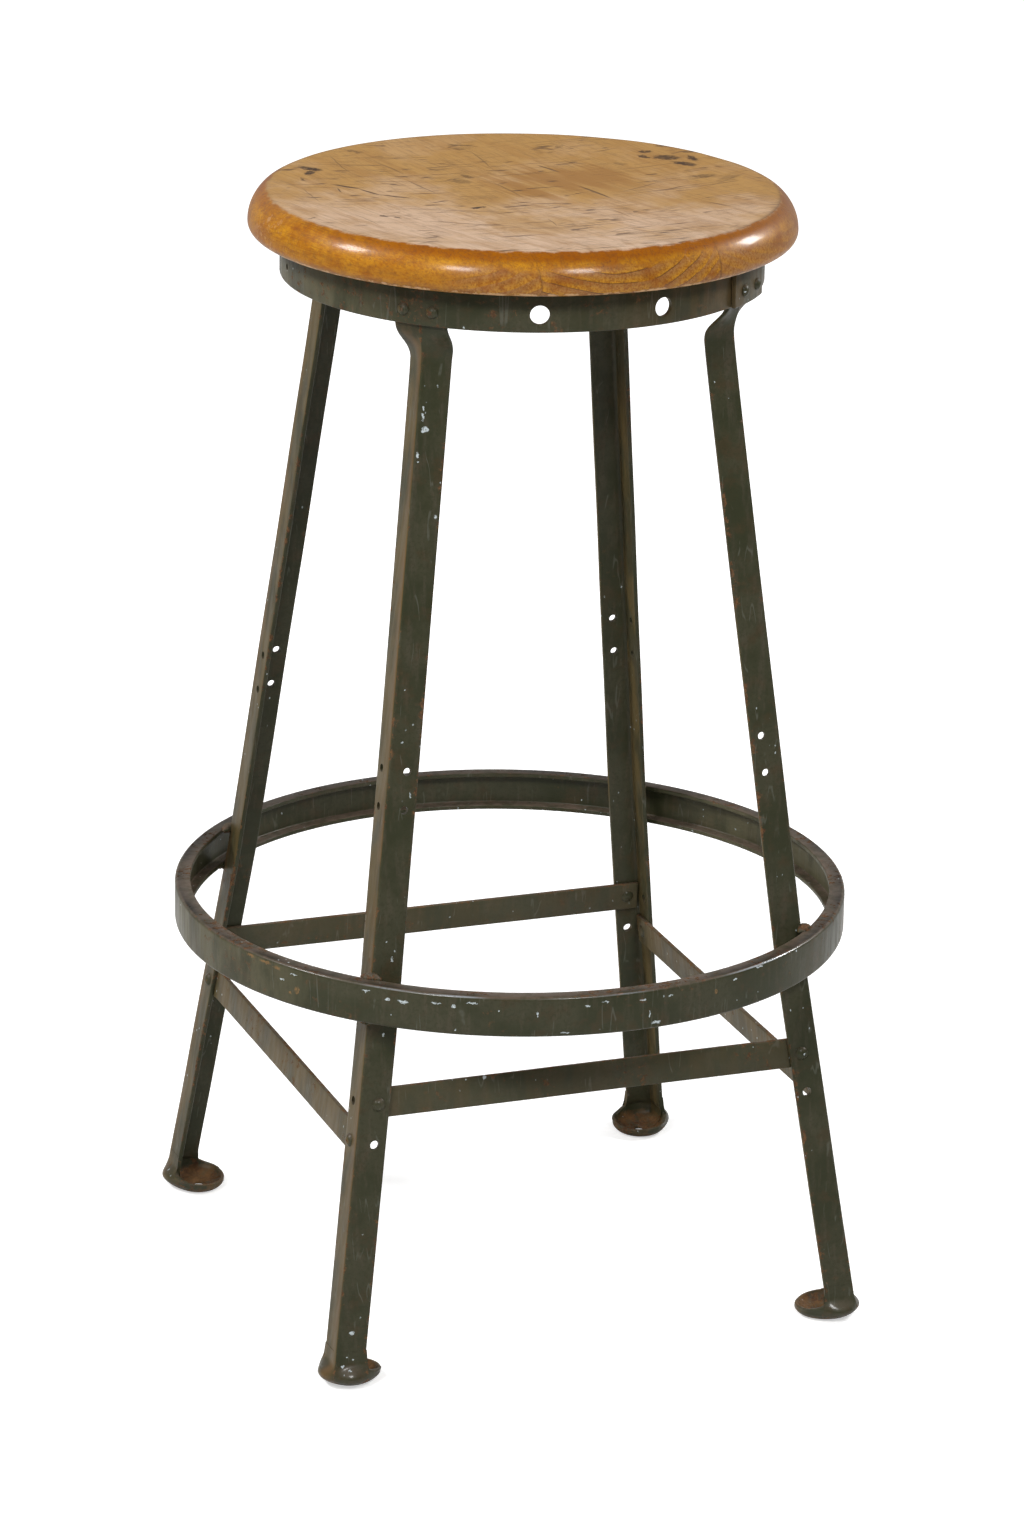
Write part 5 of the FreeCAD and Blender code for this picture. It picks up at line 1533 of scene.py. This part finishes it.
def paper_finish():
    """White to the camera. Near the stool part of the real shading stays in, so feet cast shadows.

    Reflections see the paper's glow only behind and beside the stool, as in a studio whose
    camera side is dark.
    """
    paper = Finish("white_paper")
    paper.tree.nodes.remove(paper.shader)
    path = paper.add("LightPath").outputs
    glow = paper.ramp(paper.length(paper.place), 0.5, 1.6, NEAR_GLOW, FAR_GLOW)
    holes = [turned(np.array([pad_centre, 0, 0]), azimuth) for azimuth in LEG_AZIMUTHS.values()]
    dark = paper.strongest([paper.mark(hole, (6.0, 6.0, 30.0)) for hole in holes])
    glow = paper.times(glow, paper.ramp(dark, 0.0, 1.0, 1.0, 0.0))
    forward = paper.axis(paper.moved(turn=180 - CAMERA_AZIMUTH), "X")
    behind = paper.ramp(forward, 0.0, 1.5, 0.0, 0.26)
    direct = paper.math("MAXIMUM", path["Is Camera Ray"], path["Is Transmission Ray"])
    strength = paper.sum(paper.times(direct, glow), paper.times(path["Is Glossy Ray"], behind))
    tone = paper.mix(paper.noise(900, detail=1), PAPER_WHITE, PAPER_SHADE)
    both = paper.add("AddShader")
    shaded = paper.add("BsdfDiffuse", {"Color": tone})
    glowing = paper.add("Emission", {"Color": (1, 1, 1), "Strength": strength})
    paper.feed(both.inputs[0], shaded.outputs[0])
    paper.feed(both.inputs[1], glowing.outputs[0])
    paper.feed(paper.tree.nodes["Material Output"].inputs["Surface"], both.outputs[0])
    return paper.material


def make_stage():
    """A floor that curves up into a backdrop behind the stool: one profile carried sideways."""
    bend = np.linspace(0, math.pi / 2, 16)[1:]
    wall = np.linspace(0, 6, 12)[1:]
    floor_run = np.linspace(-9, 7, 30)
    forward = np.concatenate([floor_run, 7 + 3 * np.sin(bend), 0 * wall + 10])[:, None, None]
    upward = np.concatenate([0 * floor_run, 3 - 3 * np.cos(bend), 3 + wall])[:, None, None]
    sideways = np.linspace(-12, 12, 30)[:, None]
    along = -heading(CAMERA_AZIMUTH)
    grid = forward * along + sideways * np.cross(along, UP) + upward * UP
    mesh = bpy.data.meshes.new("studio_paper")
    faces = grid_quads(*grid.shape[:2])[:, ::-1]
    mesh.from_pydata(grid.reshape(-1, 3).tolist(), [], faces.tolist())
    mesh.shade_smooth()
    mesh.materials.append(paper_finish())
    paper = bpy.data.objects.new("studio_paper", mesh)
    bpy.context.collection.objects.link(paper)


LIGHT_WIDTH, LIGHT_HEIGHT = 0.44, 0.42
LIGHTS = {
    # azimuth from the camera's, elevation, distance in metres, light on a facing white surface
    "left_softbox": (-84.0, 37.0, 2.4, 0.60),
    "front_left_softbox": (-27.5, 34.0, 2.6, 0.42),
    "front_right_softbox": (26.0, 35.0, 2.6, 0.42),
    "right_softbox": (116.0, 25.0, 2.4, 0.55),
}
LIGHT_AIM = 0.62
ROOM_LIGHT = 0.14


def soft_light(name, azimuth, elevation, distance, level):
    """A soft box aimed at the seat. Its power follows from the level wanted at the stool.

    A small flat lamp of power P gives a facing white surface, at distance d, the brightness
    P / (pi d)^2.
    """
    data = bpy.data.lights.new(name, "AREA")
    data.shape, data.size, data.size_y = "RECTANGLE", LIGHT_WIDTH, LIGHT_HEIGHT
    data.energy = level * (math.pi * distance) ** 2
    back = heading(CAMERA_AZIMUTH + azimuth, elevation)
    stand(name, data, *level_frame(back), back * distance + UP * LIGHT_AIM)


def make_world():
    """An even white room: dim as a light, white to the camera."""
    world = bpy.data.worlds.new("studio")
    bpy.context.scene.world = world
    world.use_nodes = True
    tree = world.node_tree
    background = tree.nodes["Background"]
    background.inputs["Color"].default_value = (1, 1, 1, 1)
    seen = tree.nodes.new("ShaderNodeMapRange")
    seen.inputs["To Min"].default_value = ROOM_LIGHT
    tree.links.new(tree.nodes.new("ShaderNodeLightPath").outputs["Is Camera Ray"], seen.inputs["Value"])
    tree.links.new(seen.outputs["Result"], background.inputs["Strength"])


make_stage()
make_world()
for name, settings in LIGHTS.items():
    soft_light(name, *settings)

bpy.context.scene.view_settings.view_transform = "Standard"
print("lights:", ", ".join(LIGHTS))
